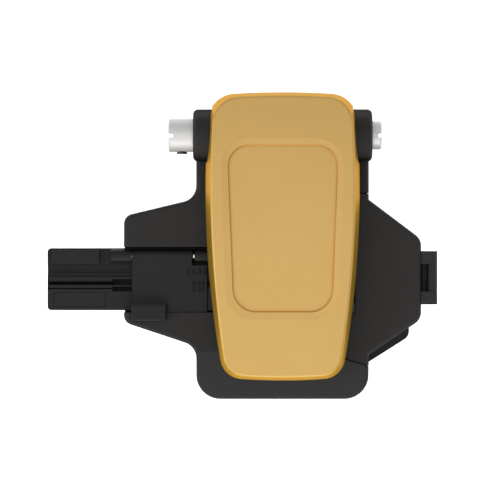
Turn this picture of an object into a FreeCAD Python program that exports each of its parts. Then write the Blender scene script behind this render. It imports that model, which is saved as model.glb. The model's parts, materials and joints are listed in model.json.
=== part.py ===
import FreeCAD, Part
import math
import os
import re

import Sketcher

# One-action fibre cleaver. X runs along the fibre, Y towards the lid hinge, Z up.
# The origin lies on the surface it stands on, under the point where the fibre is cut.

doc = FreeCAD.newDocument("fibre_cleaver")
sheet = doc.addObject("Spreadsheet::Sheet", "sizes")

# Driving dimensions in millimetres and degrees, written once each.
sizes = {
    # base: rubber sheet, bottom plate, cast body
    "rubber_thick": 1.5,
    "rubber_recess": 0.5,
    "rubber_side": 5.5,
    "rubber_front_inset": 14.8,
    "rubber_back_inset": 18.2,
    "rubber_corner": 4.0,
    "plate_thick": 3.0,
    "plate_inset": 0.6,
    "deck_over_fibre": 4.1,
    "wall": 3.0,
    "neck_half": 26.5,
    "front_reach": 35.8,
    "front_corner": 7.4,
    "wing_reach": 22.2,
    "wing_back_root": 25.9,
    "wing_back_tip": 20.6,
    "wing_front_root": 19.5,
    "wing_front_tip": 12.1,
    "wing_tip_corner": 3.0,
    "wing_root_corner": 5.0,
    "shelf_inset": 3.1,
    "shelf_back_root": 25.0,
    "shelf_back_tip": 15.2,
    "shelf_seam": 0.4,
    "shelf_front_tip": 16.8,
    "shelf_height": 12.0,
    "shelf_floor": 2.5,
    "apron_start": 21.0,
    "apron_drop": 5.5,
    "deck_edge_round": 1.2,
    "neck_overhang": 4.0,
    "bulge_overhang": 11.0,
    "bulge_wall": 2.0,
    "boss_radius": 3.2,
    "plate_screw_inset": 7.5,
    "plate_screw_front_inset": 6.8,
    "plate_screw_back_inset": 7.2,
    "screw_head": 1.9,
    "screw_head_height": 1.4,
    "screw_shank": 1.0,
    "screw_socket": 0.9,
    "screw_socket_depth": 0.8,
    "plate_screw_length": 8.0,
    # rear hinge
    "hinge_back": 45.2,
    "hinge_rise": 4.0,
    "barrel_radius": 8.0,
    "barrel_overhang": 0.9,
    "barrel_round": 1.5,
    "trough_reach": 8.6,
    "hinge_trough_depth": 9.0,
    "tower_gap": 14.0,
    "shaft_radius": 2.5,
    "left_cap_radius": 5.1,
    "left_cap_length": 7.6,
    "right_cap_radius": 4.3,
    "right_cap_length": 2.9,
    "cap_bore_depth": 1.8,
    "cap_slot_width": 1.3,
    "cap_slot_depth": 1.5,
    "cap_round": 0.6,
    "set_screw_radius": 1.6,
    "set_screw_inset": 3.4,
    "set_screw_proud": 0.6,
    # fibre line, holder and its lid
    "channel_gap": 0.35,
    "channel_front_gap": 0.7,
    "channel_depth": 10.5,
    "holder_left": 72.3,
    "holder_end_gap": 0.4,
    "holder_back": 10.7,
    "holder_front": 8.4,
    "holder_rise": 0.4,
    "holder_corner": 1.2,
    "grip_right": 56.3,
    "grip_front": 5.8,
    "grip_rise": 2.4,
    "trough_back": 5.7,
    "trough_front_edge": 1.85,
    "trough_depth": 1.2,
    "inner_trough_half": 0.7,
    "inner_trough_depth": 1.0,
    "groove_half": 0.65,
    "groove_depth": 1.1,
    "thin_groove_y": 1.7,
    "thin_groove_half": 0.25,
    "thin_groove_depth": 0.35,
    "inlay_left": 70.4,
    "inlay_right": 54.5,
    "inlay_back": 2.9,
    "inlay_front": 7.4,
    "inlay_depth": 0.35,
    "pocket_left": 52.3,
    "pocket_back": 1.2,
    "pocket_split_back": 0.65,
    "pocket_split_front": 1.1,
    "pocket_front": 2.6,
    "pocket_depth": 5.0,
    "land_gap": 0.3,
    "land_drop": 0.2,
    "land_back": 5.2,
    "land_slot": 1.2,
    "inlay_gap": 0.2,
    "magnet_radius": 2.0,
    "magnet_thick": 1.6,
    "holder_magnet_x": 30.5,
    "holder_magnet_y": 5.6,
    "holder_screw_left": 42.0,
    "holder_screw_right": 22.0,
    "holder_screw_length": 6.5,
    "holder_pad_left": 34.5,
    "holder_pad_right": 24.6,
    "holder_pad_back": 5.0,
    "holder_pad_front": 3.0,
    "holder_pad_thick": 0.9,
    "lid_pin_y": 8.3,
    "lid_pin_rise": 1.2,
    "knuckle_radius": 2.1,
    "lid_pin_radius": 0.95,
    "left_lug_left": 52.8,
    "left_lug_right": 46.3,
    "lug_window": 3.8,
    "right_lug_right": 20.5,
    "plate_left": 46.2,
    "flap_end": 6.6,
    "plate_front": 9.0,
    "flap_gap": 0.1,
    "flap_thick": 3.2,
    "window_gap": 0.9,
    "window_front": 5.4,
    "tab_right": 35.8,
    "tab_ramp_back": 3.7,
    "tab_step": 6.5,
    "tab_front": 11.4,
    "tab_ramp_rise": 0.5,
    "tab_rise": 2.6,
    "tab_gap": 0.4,
    # clamps and anvil
    "blade_gap": 2.2,
    "clamp_half_depth": 8.0,
    "clamp_end": 15.9,
    "ledge_depth": 8.0,
    "clamp_drop": 1.1,
    "press_pad_start": 0.2,
    "press_pad_margin": 0.5,
    "clamp_pad_half": 4.0,
    "clamp_pad_seat": 0.4,
    "well_margin": 1.8,
    "well_front": 17.0,
    "well_back": 24.0,
    "press_rise": 2.1,
    "press_thick": 5.0,
    "press_width": 10.5,
    "press_front": 7.4,
    "press_bridge": 3.0,
    "press_back": 5.0,
    "anvil_gap": 0.8,
    "fibre_gap": 0.3,
    "float_travel": 0.8,
    "anvil_half": 1.6,
    "anvil_pin_y": 16.0,
    "anvil_pin_rise": 2.0,
    "anvil_pin_radius": 1.0,
    "anvil_eye": 2.4,
    "anvil_tip_front": 2.0,
    "anvil_push": 0.5,
    "anvil_pad_thick": 2.0,
    "anvil_arm_thick": 3.0,
    # gold lid and the frame under it
    "flange_thick": 2.9,
    "rim_back_half": 22.2,
    "rim_overhang": 12.2,
    "rim_back_bow": 246.0,
    "rim_front_half": 18.1,
    "rim_front_inset": 6.9,
    "rim_front_bow": 182.0,
    "rim_side_bow": 302.0,
    "rim_back_corner": 8.4,
    "rim_front_corner": 7.0,
    "rim_taper": 7.0,
    "cover_wall": 1.8,
    "crown_back_rise": 11.0,
    "crown_front_rise": 8.5,
    "crown_bow": 300.0,
    "crown_round": 0.7,
    "notch_gap": 0.8,
    "dish_back_inset": 15.2,
    "dish_front_inset": 20.1,
    "dish_back_side": 5.2,
    "dish_front_side": 3.1,
    "dish_corner": 6.8,
    "dish_depth": 0.8,
    "dish_slope": 2.4,
    "dish_rise": 0.42,
    "border_depth": 0.45,
    "panel_slope": 0.3,
    "panel_rise": 0.3,
    "frame_lift": 2.0,
    "frame_thick": 5.5,
    "frame_inset": 0.8,
    "frame_plug_inset": 2.8,
    "lid_screw_front_side": 4.1,
    "lid_screw_front_inset": 9.4,
    "lid_screw_back_side": 5.2,
    "lid_screw_back": 28.0,
    "lid_screw_length": 6.5,
    "lid_boss_radius": 2.4,
    "latch_radius": 2.1,
    "latch_thick": 2.0,
    "latch_margin": 0.4,
    "latch_front_inset": 15.9,
    "bumper_radius": 2.0,
    "bumper_seat": 1.0,
    "bumper_margin": 0.5,
    "bumper_back": 28.5,
    "frame_gap": 0.1,
    "lug_radius": 7.2,
    "lug_inner": 8.0,
    "lug_gap": 0.2,
    "hub_radius": 5.0,
    "running_gap": 0.05,
    "running_space": 0.8,
    "drive_reach": 12.0,
    "drive_angle": 20.0,
    "drive_pin_radius": 2.0,
    "drive_arm_width": 1.2,
    "drive_eye": 3.0,
    # blade carriage
    "carriage_travel": 11.8,
    "blade_radius": 8.0,
    "blade_thick": 1.0,
    "blade_touch": 0.05,
    "hub_disc_radius": 4.5,
    "hub_disc_end": 2.0,
    "blade_bore": 1.5,
    "carriage_half": 11.0,
    "carriage_half_length": 13.0,
    "carriage_lift": 5.5,
    "carriage_thick": 6.5,
    "rod_x": 8.0,
    "rod_rise": 3.0,
    "rod_radius": 2.0,
    "rod_front_inset": 8.8,
    "rod_back_inset": 12.2,
    "rod_block_length": 4.0,
    "rod_block_half": 12.0,
    "rod_block_cover": 3.1,
    "bracket_left": 3.0,
    "bracket_right": 7.0,
    "bracket_half": 4.0,
    "bracket_rise": 3.55,
    "tail_half": 4.0,
    "blade_rise": 4.85,
    "tail_thick": 3.2,
    "fork_wall": 1.8,
    "fork_gap": 0.4,
    "fork_half": 1.0,
    "fork_rise": 4.7,
    "blade_screw_head": 2.6,
    "blade_screw_head_end": 3.2,
    "rod_screw_x": 3.5,
    "clamp_screw_inset": 2.0,
    "clamp_screw_y": 5.2,
    "clamp_screw_length": 6.0,
    "press_screw_x": 6.4,
    "press_screw_length": 7.0,
    # collector on the right
    "box_overlap": 8.3,
    "box_reach": 16.1,
    "box_gap": 0.3,
    "box_back": 27.4,
    "box_shoulder": 25.6,
    "box_back_tip": 13.5,
    "box_front_tip": 11.2,
    "box_root_inset": 3.3,
    "box_seam_right": 25.4,
    "seam_rise": 2.6,
    "box_wall": 2.0,
    "box_corner": 4.2,
    "box_edge_round": 1.5,
    "mouth_half": 5.0,
    "mouth_drop": 2.9,
    "roller_inset": 2.1,
    "roller_radius": 1.9,
    "roller_half": 5.5,
    "roller_shaft_radius": 0.9,
    "roller_frame_inner": 6.0,
    "roller_frame_outer": 9.0,
    "roller_frame_drop": 5.4,
    "roller_slot_back": 9.4,
    "box_screw_inset": 5.3,
    "box_screw_y": 10.0,
    "box_boss_height": 7.0,
    "door_half": 8.2,
    "door_pin_rise": 2.1,
    "door_lip": 1.2,
    "door_middle": 1.6,
    "door_overlap": 1.4,
    "door_thick": 2.2,
    "door_pin_reach": 0.95,
    "door_pin_drop": 2.6,
    "door_pin_radius": 0.7,
    "door_knuckle_radius": 1.55,
    "door_knuckle_half": 4.2,
    "door_knuckle_gap": 0.08,
    "port_half": 5.8,
    "port_sill": 4.0,
    "port_cover": 0.7,
}

# Places that follow from the driving dimensions.
places = {
    "plate_under": "rubber_thick - rubber_recess",
    "floor_low": "plate_under + plate_thick",
    "apron_front": "deck_height - apron_drop",
    "cavity_right": "box_left - box_gap - wall",
    "shaft_left": "-barrel_outer - cap_bore_depth",
    "shaft_right": "barrel_outer + cap_bore_depth",
    "clamp_pad_low": "clamp_top - clamp_pad_seat",
    "clamp_pad_top": "fibre_height - fibre_gap / 2",
    "press_pad_low": "fibre_height + fibre_gap / 2",
    "blade_height": "carriage_top + blade_rise",
    "blade_back": "carriage_travel / 2",
    "drive_y": "hinge_back + drive_reach * sin(drive_angle)",
    "drive_height": "hinge_height - drive_reach * cos(drive_angle)",
    "fork_inner": "drive_pin_radius + fork_gap",
    "fork_outer": "fork_inner + fork_wall",
    "box_low": "shelf_height",
    "box_roof": "deck_height - box_wall",
    "holder_low": "channel_floor",
    "trough_middle": "(trough_back + trough_front_edge) / 2",
    "upper_roller_height": "fibre_height + fibre_gap / 2 + roller_radius",
    "lower_roller_height": "fibre_height - fibre_gap / 2 - roller_radius",
    "deck_height": "fibre_height + deck_over_fibre",
    "hinge_height": "deck_height + hinge_rise",
    "trough_floor": "deck_height - hinge_trough_depth",
    "fibre_height": "blade_height + blade_radius + blade_touch",
    "channel_floor": "deck_height - channel_depth",
    "cavity_roof": "channel_floor - wall",
    "holder_top": "fibre_height + holder_rise",
    "plate_low": "holder_top + flap_gap",
    "plate_top": "plate_low + flap_thick",
    "lid_pin_height": "holder_top + lid_pin_rise",
    "tab_low": "deck_height + tab_gap",
    "clamp_ledge": "deck_height - ledge_depth",
    "clamp_top": "fibre_height - clamp_drop",
    "press_height": "fibre_height + press_rise",
    "press_top": "press_height + press_thick",
    "anvil_pin_height": "frame_low + anvil_pin_rise",
    "anvil_pad_low": "fibre_height - anvil_push",
    "anvil_pad_top": "anvil_pad_low + anvil_pad_thick",
    "anvil_arm_top": "anvil_pad_top + anvil_arm_thick",
    "rim_low": "frame_low + flange_thick + frame_gap",
    "crown_back": "rim_low + crown_back_rise",
    "crown_front": "rim_low + crown_front_rise",
    "frame_low": "deck_height + frame_lift",
    "frame_top": "frame_low + frame_thick",
    "carriage_low": "floor_low + carriage_lift",
    "carriage_top": "carriage_low + carriage_thick",
    "rod_height": "carriage_low + rod_rise",
    "rod_block_top": "rod_height + rod_block_cover",
    "bracket_top": "blade_height + bracket_rise",
    "tail_low": "carriage_top",
    "tail_top": "tail_low + tail_thick",
    "fork_top": "drive_height + fork_rise",
    "mouth_low": "fibre_height - mouth_drop",
    "roller_frame_low": "fibre_height - roller_frame_drop",
    "door_pin_height": "deck_height - door_pin_drop",
    "door_top": "door_pin_height - door_pin_rise",
    "port_top": "door_top - port_cover",
    "port_low": "shelf_height + port_sill",
    "door_low": "port_low - door_overlap",
    "barrel_outer": "neck_half + barrel_overhang",
    "box_left": "neck_half - box_overlap",
    "roller_x": "box_left + roller_inset",
    "box_screw_x": "box_left + box_screw_inset",
    "box_right": "neck_half + box_reach",
    "shelf_right": "box_right - shelf_inset",
    "door_inner": "box_right + box_gap",
    "door_outer": "door_inner + door_thick",
    "door_pin_x": "door_outer + door_pin_reach",
    "wing_left": "neck_half + wing_reach",
    "plate_screw_x": "neck_half - plate_screw_inset",
    "rubber_half_width": "neck_half - rubber_side",
    "well_half": "carriage_half + well_margin",
    "ledge_reach": "clamp_end + box_gap",
    "channel_end": "ledge_reach",
    "holder_right": "channel_end + holder_end_gap",
    "clamp_screw_x": "clamp_end - clamp_screw_inset",
    "neck_back": "hinge_back + neck_overhang",
    "bulge_back": "hinge_back + bulge_overhang",
    "bulge_half": "tower_gap",
    "trough_front": "hinge_back - trough_reach",
    "rim_back": "hinge_back + rim_overhang",
    "plate_screw_back": "neck_back - plate_screw_back_inset",
    "plate_screw_front": "front_reach - plate_screw_front_inset",
    "rubber_back": "neck_back - rubber_back_inset",
    "rubber_front": "front_reach - rubber_front_inset",
    "rim_front": "front_reach - rim_front_inset",
    "rod_front": "front_reach - rod_front_inset",
    "rod_back": "neck_back - rod_back_inset",
    "dish_back": "rim_back - dish_back_inset",
    "dish_front": "rim_front - dish_front_inset",
    "dish_back_half": "rim_back_half - dish_back_side",
    "dish_front_half": "rim_front_half - dish_front_side",
    "lid_screw_front": "rim_front - lid_screw_front_inset",
    "lid_screw_front_x": "rim_front_half - lid_screw_front_side",
    "lid_screw_back_x": "rim_back_half - lid_screw_back_side",
    "latch_front": "rim_front - latch_front_inset",
    "latch_x": "well_half + latch_margin + latch_radius",
    "bumper_x": "well_half + bumper_margin + bumper_radius",
    "clamp_pad_right": "press_width - press_pad_margin",
    "clamp_pad_left": "press_gap + press_pad_start",
    "press_gap": "anvil_half + anvil_gap",
    "channel_back": "holder_back + channel_gap",
    "channel_front": "holder_front + channel_front_gap",
    "box_seam_left": "box_seam_right - seam_rise",
    "shelf_front_root": "box_seam_right - shelf_seam",
    "box_front_root": "box_seam_right - box_root_inset",
    "plate_right": "holder_right + flap_end",
    "right_lug_left": "plate_right + lug_window",
    "window_left": "right_lug_left + window_gap",
}

for row, (alias, number) in enumerate(sizes.items(), 1):
    sheet.set("A" + str(row), alias)
    sheet.set("B" + str(row), str(number))
    sheet.setAlias("B" + str(row), alias)
doc.recompute()


def formula(text):
    """Spells out a formula written in the names of sizes and places."""
    def spell(match):
        word = match.group(0)
        if word in places:
            return "(" + formula(places[word]) + ")"
        if word in sizes:
            return "sizes." + word
        return word
    return re.sub(r"[A-Za-z_]\w*", spell, str(text))


def value(text):
    return float(sheet.evalExpression(formula(text)))


def new_body(name):
    body = doc.addObject("PartDesign::Body", name)
    body.Label = name
    return body


plane_axis = {"XY": 1, "YZ": 1, "XZ": -1}


def sketch_on(body, name, plane, offset):
    """A sketch parallel to one of the body's own origin planes, at the given place."""
    sketch = body.newObject("Sketcher::SketchObject", name)
    role = plane + "_Plane"
    support = [item for item in body.Origin.OriginFeatures if item.Role == role][0]
    sketch.AttachmentSupport = [(support, "")]
    sketch.MapMode = "FlatFace"
    sign = "" if plane_axis[plane] > 0 else "-"
    sketch.setExpression("AttachmentOffset.Base.z", sign + "(" + formula(offset) + ")")
    return sketch


def hold(sketch, kind, line, end, text):
    number = sketch.addConstraint(Sketcher.Constraint(kind, -1, 1, line, end, value(text)))
    sketch.setExpression("Constraints[" + str(number) + "]", formula(text))


def bowed(start, finish, radius):
    """An arc from start to finish that swells to the right of the way it runs."""
    chord = finish - start
    middle = (start + finish) / 2
    outward = FreeCAD.Vector(chord.y, -chord.x, 0).normalize()
    rise = radius - math.sqrt(radius ** 2 - (chord.Length / 2) ** 2)
    return Part.Arc(start, middle + outward * rise, finish)


def draw_outline(sketch, corners):
    """A closed outline. A corner is (x, y) or (x, y, bow radius of the edge that leaves it)."""
    spots = [FreeCAD.Vector(value(corner[0]), value(corner[1]), 0) for corner in corners]
    first = sketch.GeometryCount
    ends = []
    for index, corner in enumerate(corners):
        start = spots[index]
        finish = spots[(index + 1) % len(spots)]
        if len(corner) == 3:
            arc = bowed(start, finish, value(corner[2]))
            number = sketch.addGeometry(arc, False)
            placed = sketch.Geometry[number]
            flipped = (placed.StartPoint - start).Length > (placed.EndPoint - start).Length
            ends.append((2, 1) if flipped else (1, 2))
        else:
            sketch.addGeometry(Part.LineSegment(start, finish), False)
            ends.append((1, 2))
    for index, corner in enumerate(corners):
        follower = (index + 1) % len(corners)
        sketch.addConstraint(Sketcher.Constraint(
            "Coincident", first + index, ends[index][1], first + follower, ends[follower][0]))
        hold(sketch, "DistanceX", first + index, ends[index][0], corner[0])
        hold(sketch, "DistanceY", first + index, ends[index][0], corner[1])
        if len(corner) == 3:
            number = sketch.addConstraint(Sketcher.Constraint("Radius", first + index, value(corner[2])))
            sketch.setExpression("Constraints[" + str(number) + "]", formula(corner[2]))


def draw_disc(sketch, x, y, radius):
    centre = FreeCAD.Vector(value(x), value(y), 0)
    number = sketch.addGeometry(Part.Circle(centre, FreeCAD.Vector(0, 0, 1), value(radius)), False)
    hold(sketch, "DistanceX", number, 3, x)
    hold(sketch, "DistanceY", number, 3, y)
    rim = sketch.addConstraint(Sketcher.Constraint("Radius", number, value(radius)))
    sketch.setExpression("Constraints[" + str(rim) + "]", formula(radius))


def draw(sketch, corners, discs):
    if corners:
        draw_outline(sketch, corners)
    for disc in discs:
        draw_disc(sketch, *disc)


def volume_of(body):
    doc.recompute()
    for item in body.Group:
        if "Invalid" in item.State or "Error" in item.State:
            raise ValueError(body.Label + ": " + item.Label + " fails")
    return body.Shape.Volume if not body.Shape.isNull() else 0.0


def add_block(body, name, plane, offset, length, corners=(), discs=(), back=False, both=False, taper=None):
    """A pad. It runs up from an XY sketch, to the right from YZ, to the front from XZ."""
    sketch = sketch_on(body, name + "_sketch", plane, offset)
    draw(sketch, corners, discs)
    before = volume_of(body)
    pad = body.newObject("PartDesign::Pad", name)
    pad.Profile = sketch
    pad.setExpression("Length", formula(length))
    pad.Reversed = back
    pad.Midplane = both
    if taper:
        pad.setExpression("TaperAngle", "-(" + formula(taper) + ")")
    if volume_of(body) <= before:
        raise ValueError(name + " adds nothing")
    return pad


def cut_block(body, name, plane, offset, length, corners=(), discs=(), back=False, both=False):
    """A pocket. It runs down from an XY sketch, to the left from YZ, to the back from XZ."""
    sketch = sketch_on(body, name + "_sketch", plane, offset)
    draw(sketch, corners, discs)
    before = volume_of(body)
    pocket = body.newObject("PartDesign::Pocket", name)
    pocket.Profile = sketch
    if length is None:
        pocket.Type = 1
    else:
        pocket.setExpression("Length", formula(length))
    pocket.Reversed = back
    pocket.Midplane = both
    if volume_of(body) >= before:
        raise ValueError(name + " cuts nothing")
    return pocket


def box_corners(left, right, front, back):
    return [(left, front), (right, front), (right, back), (left, back)]


def upright_edges(feature, spots, axis=2):
    """Names of the edges that run along one axis through the given places."""
    others = [index for index in range(3) if index != axis]
    names = []
    for number, edge in enumerate(feature.Shape.Edges, 1):
        if len(edge.Vertexes) < 2:
            continue
        start = edge.Vertexes[0].Point
        finish = edge.Vertexes[1].Point
        if abs(start[axis] - finish[axis]) < 0.5 * edge.Length:
            continue
        for spot in spots:
            near = min(math.dist([point[index] for index in others], spot) for point in (start, finish))
            if near < 0.02:
                names.append("Edge" + str(number))
                break
    return names


def edges_where(feature, test):
    return ["Edge" + str(number) for number, edge in enumerate(feature.Shape.Edges, 1) if test(edge)]


def round_edges(body, name, radius, names):
    base = body.Tip
    fillet = body.newObject("PartDesign::Fillet", name)
    fillet.Base = (base, names)
    fillet.setExpression("Radius", formula(radius))
    volume_of(body)
    return fillet


def bevel_edges(body, name, size, names, second=None):
    base = body.Tip
    chamfer = body.newObject("PartDesign::Chamfer", name)
    chamfer.Base = (base, names)
    chamfer.setExpression("Size", formula(size))
    if second is not None:
        chamfer.ChamferType = 1
        chamfer.setExpression("Size2", formula(second))
    volume_of(body)
    return chamfer


def round_corners(body, name, radius, spots, axis=2):
    places_now = [(value(spot[0]), value(spot[1])) for spot in spots]
    names = upright_edges(body.Tip, places_now, axis)
    if len(names) < len(spots):
        raise ValueError(name + " finds too few corners")
    return round_edges(body, name, radius, names)


turn_along = {
    "X": FreeCAD.Rotation(FreeCAD.Vector(0, 1, 0), 90),
    "Y": FreeCAD.Rotation(FreeCAD.Vector(1, 0, 0), -90),
    "Z": FreeCAD.Rotation(),
}


def put(item, spot, along="Z"):
    item.Placement = FreeCAD.Placement(FreeCAD.Vector(), turn_along[along])
    for letter, text in zip("xyz", spot):
        item.setExpression("Placement.Base." + letter, formula(text))
    return item


def rod(name, along, radius, length, spot):
    """A cylinder that starts at the given place and runs along one axis."""
    item = doc.addObject("Part::Cylinder", name)
    item.Label = name
    item.setExpression("Radius", formula(radius))
    item.setExpression("Height", formula(length))
    return put(item, spot, along)


def joined(name, kind, items):
    """Joins objects: kind is MultiFuse or Compound."""
    item = doc.addObject("Part::" + kind, name)
    item.Label = name
    if kind == "Compound":
        item.Links = items
    else:
        item.Shapes = items
    return item


def less(name, base, tool):
    item = doc.addObject("Part::Cut", name)
    item.Label = name
    item.Base = base
    item.Tool = tool
    return item


def socket_screw(name, length, spot, head_up=True):
    """A cap screw with its head's inner face at the given place and its shank along Z."""
    x, y, z = spot
    if head_up:
        head_low, shank_low, socket_low = z, f"({z}) - ({length})", f"({z}) + screw_head_height - screw_socket_depth"
    else:
        head_low, shank_low, socket_low = f"({z}) - screw_head_height", z, f"({z}) - screw_head_height"
    head = rod(name + "_head", "Z", "screw_head", "screw_head_height", (x, y, head_low))
    shank = rod(name + "_shank", "Z", "screw_shank", length, (x, y, shank_low))
    socket = doc.addObject("Part::Prism", name + "_socket")
    socket.Polygon = 6
    socket.setExpression("Circumradius", formula("screw_socket"))
    socket.setExpression("Height", formula("screw_socket_depth"))
    put(socket, (x, y, socket_low))
    return less(name, joined(name + "_blank", "MultiFuse", [head, shank]), socket)


def screw_group(name, length, spots, head_up=True):
    return joined(name, "Compound", [
        socket_screw(name + "_" + str(number), length, spot, head_up)
        for number, spot in enumerate(spots, 1)])


holder_screw_spots = [("-holder_screw_left", "0"), ("-holder_screw_right", "0")]
box_screw_spots = [("box_screw_x", "-box_screw_y"), ("box_screw_x", "box_screw_y")]


def body_outline(inset):
    return [
        (f"-neck_half + {inset}", f"-front_reach + {inset}"),
        (f"neck_half - {inset}", f"-front_reach + {inset}"),
        (f"neck_half - {inset}", f"-shelf_front_root + {inset}"),
        (f"shelf_right - {inset}", f"-shelf_front_tip + {inset}"),
        (f"shelf_right - {inset}", f"shelf_back_tip - {inset}"),
        (f"neck_half - {inset}", f"shelf_back_root - {inset}"),
        (f"neck_half - {inset}", f"neck_back - {inset}"),
        (f"bulge_half - {inset}", f"neck_back - {inset}"),
        (f"bulge_half - {inset}", f"bulge_back - {inset}"),
        (f"-bulge_half + {inset}", f"bulge_back - {inset}"),
        (f"-bulge_half + {inset}", f"neck_back - {inset}"),
        (f"-neck_half + {inset}", f"neck_back - {inset}"),
        (f"-neck_half + {inset}", f"wing_back_root - {inset}"),
        (f"-wing_left + {inset}", f"wing_back_tip - {inset}"),
        (f"-wing_left + {inset}", f"-wing_front_tip + {inset}"),
        (f"-neck_half + {inset}", f"-wing_front_root + {inset}"),
    ]


def round_body_corners(body, inset):
    corners = body_outline(inset)
    round_corners(body, "front_corners", "front_corner", corners[0:2])
    round_corners(body, "wing_tips", "wing_tip_corner", corners[3:5] + corners[8:10] + corners[13:15])
    round_corners(body, "wing_roots", "wing_root_corner", [corners[12], corners[15]])


plate_screw_spots = [
    ("-plate_screw_x", "-plate_screw_front"),
    ("plate_screw_x", "-plate_screw_front"),
    ("plate_screw_x", "plate_screw_back"),
    ("-plate_screw_x", "plate_screw_back"),
]

rod_screw_spots = [
    ("-rod_screw_x", "-rod_front + rod_block_length / 2"),
    ("rod_screw_x", "-rod_front + rod_block_length / 2"),
    ("-rod_screw_x", "rod_back - rod_block_length / 2"),
    ("rod_screw_x", "rod_back - rod_block_length / 2"),
]


def make_main_body():
    """The cast frame: deck, holder wings, hinge barrels and the shelf for the collector."""
    body = new_body("main_body")
    add_block(body, "casting", "XY", "floor_low", "deck_height - floor_low", body_outline("0"))
    round_body_corners(body, "0")
    deck = value("deck_height")
    round_edges(body, "deck_rim", "deck_edge_round", edges_where(
        body.Tip, lambda edge: edge.BoundBox.ZMin > deck - 0.01))
    cut_block(body, "apron", "YZ", "0", None, [
        ("-front_reach - wall", "apron_front"),
        ("-front_reach", "apron_front"),
        ("-apron_start", "deck_height"),
        ("-apron_start", "deck_height + wall"),
        ("-front_reach - wall", "deck_height + wall"),
    ], both=True)
    apron_low = value("apron_front")
    round_edges(body, "apron_rim", "deck_edge_round", edges_where(
        body.Tip, lambda edge: apron_low - 0.01 < edge.BoundBox.ZMin < (apron_low + deck) / 2))
    cut_block(body, "collector_seat", "XY", "deck_height", "deck_height - shelf_height", [
        ("box_left - box_gap", "-box_seam_left - box_gap"),
        ("neck_half", "-box_seam_right - box_gap"),
        ("box_right + wall", "-box_seam_right - box_gap"),
        ("box_right + wall", "box_back + box_gap"),
        ("box_left - box_gap", "box_back + box_gap"),
    ])
    cut_block(body, "holder_channel", "XY", "deck_height", "deck_height - channel_floor",
              box_corners("-wing_left - wall", "-channel_end", "-channel_front", "channel_back"))
    cut_block(body, "hinge_trough", "XY", "deck_height", "deck_height - trough_floor",
              box_corners("-tower_gap", "tower_gap", "trough_front", "bulge_back + wall"))
    for name, left, right in (("left_foot", "-neck_half", "-tower_gap"), ("right_foot", "tower_gap", "neck_half")):
        add_block(body, name, "XY", "deck_height - cap_round", "hinge_rise + cap_round",
                  box_corners(left, right, "hinge_back - neck_overhang", "neck_back"))
    for name, start in (("left_barrel", "-barrel_outer"), ("right_barrel", "tower_gap")):
        add_block(body, name, "YZ", start, "barrel_outer - tower_gap",
                  discs=[("hinge_back", "hinge_height", "barrel_radius")])
    outer = value("barrel_outer")
    round_edges(body, "barrel_ends", "barrel_round", edges_where(
        body.Tip, lambda edge: abs(abs(edge.BoundBox.XMin) - outer) < 0.01
        and abs(abs(edge.BoundBox.XMax) - outer) < 0.01 and edge.Length > outer / 2))
    cut_block(body, "shaft_bore", "YZ", "0", "2 * barrel_outer + wall",
              discs=[("hinge_back", "hinge_height", "shaft_radius")], both=True)
    cut_block(body, "main_cavity", "XY", "floor_low", "cavity_roof - floor_low",
              box_corners("-neck_half + wall", "cavity_right", "-front_reach + wall", "neck_back - wall"),
              back=True)
    cut_block(body, "bulge_cavity", "XY", "floor_low", "cavity_roof - floor_low",
              box_corners("-bulge_half + bulge_wall", "bulge_half - bulge_wall", "neck_back - 2 * wall",
                          "bulge_back - bulge_wall"), back=True)
    cut_block(body, "wing_cavity", "XY", "floor_low", "cavity_roof - floor_low",
              box_corners("-wing_left + wall", "-neck_half + 2 * wall", "-wing_front_tip + wall",
                          "wing_back_tip - wall"), back=True)
    cut_block(body, "shelf_cavity", "XY", "floor_low", "shelf_height - shelf_floor - floor_low",
              box_corners("box_left", "shelf_right - wall", "-shelf_front_tip + wall",
                          "shelf_back_tip - wall"), back=True)
    cut_block(body, "blade_well", "XY", "deck_height", "deck_height - cavity_roof + wall",
              box_corners("-well_half", "well_half", "-well_front", "well_back"))
    cut_block(body, "drive_slot", "XY", "deck_height", "deck_height - cavity_roof + wall",
              box_corners("-tail_half - running_space", "tail_half + running_space",
                          "drive_y - carriage_travel - fork_outer - running_space",
                          "bulge_back - bulge_wall"))
    cut_block(body, "clamp_ledges", "XY", "deck_height", "deck_height - clamp_ledge",
              box_corners("-ledge_reach", "ledge_reach", "-clamp_half_depth - box_gap",
                          "clamp_half_depth + box_gap"))
    cut_block(body, "latch_seats", "XY", "deck_height", "latch_thick",
              discs=[("-latch_x", "-latch_front", "latch_radius"), ("latch_x", "-latch_front", "latch_radius")])
    cut_block(body, "bumper_seats", "XY", "deck_height", "bumper_seat",
              discs=[("-bumper_x", "bumper_back", "bumper_radius"), ("bumper_x", "bumper_back", "bumper_radius")])
    cut_block(body, "fibre_mouth", "XY", "deck_height", "deck_height - mouth_low",
              box_corners("well_half", "box_left + wall", "-mouth_half", "mouth_half"))
    add_block(body, "screw_bosses", "XY", "floor_low", "cavity_roof - floor_low + wall / 2",
              discs=[(x, y, "boss_radius") for x, y in plate_screw_spots if (x, y) != plate_screw_spots[2]])
    cut_block(body, "screw_holes", "XY", "floor_low", "plate_screw_length",
              discs=[(x, y, "screw_shank") for x, y in plate_screw_spots], back=True)
    cut_block(body, "holder_screw_holes", "XY", "channel_floor", "channel_floor - cavity_roof + wall",
              discs=[(x, y, "screw_shank") for x, y in holder_screw_spots])
    cut_block(body, "collector_screw_holes", "XY", "shelf_height", "shelf_floor + wall",
              discs=[(x, y, "screw_shank") for x, y in box_screw_spots])
    cut_block(body, "clamp_screw_holes", "XY", "clamp_ledge", "clamp_ledge - cavity_roof + wall",
              discs=[(x, y, "screw_shank") for x in ("-clamp_screw_x", "clamp_screw_x")
                     for y in ("-clamp_screw_y", "clamp_screw_y")])
    return body


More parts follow.
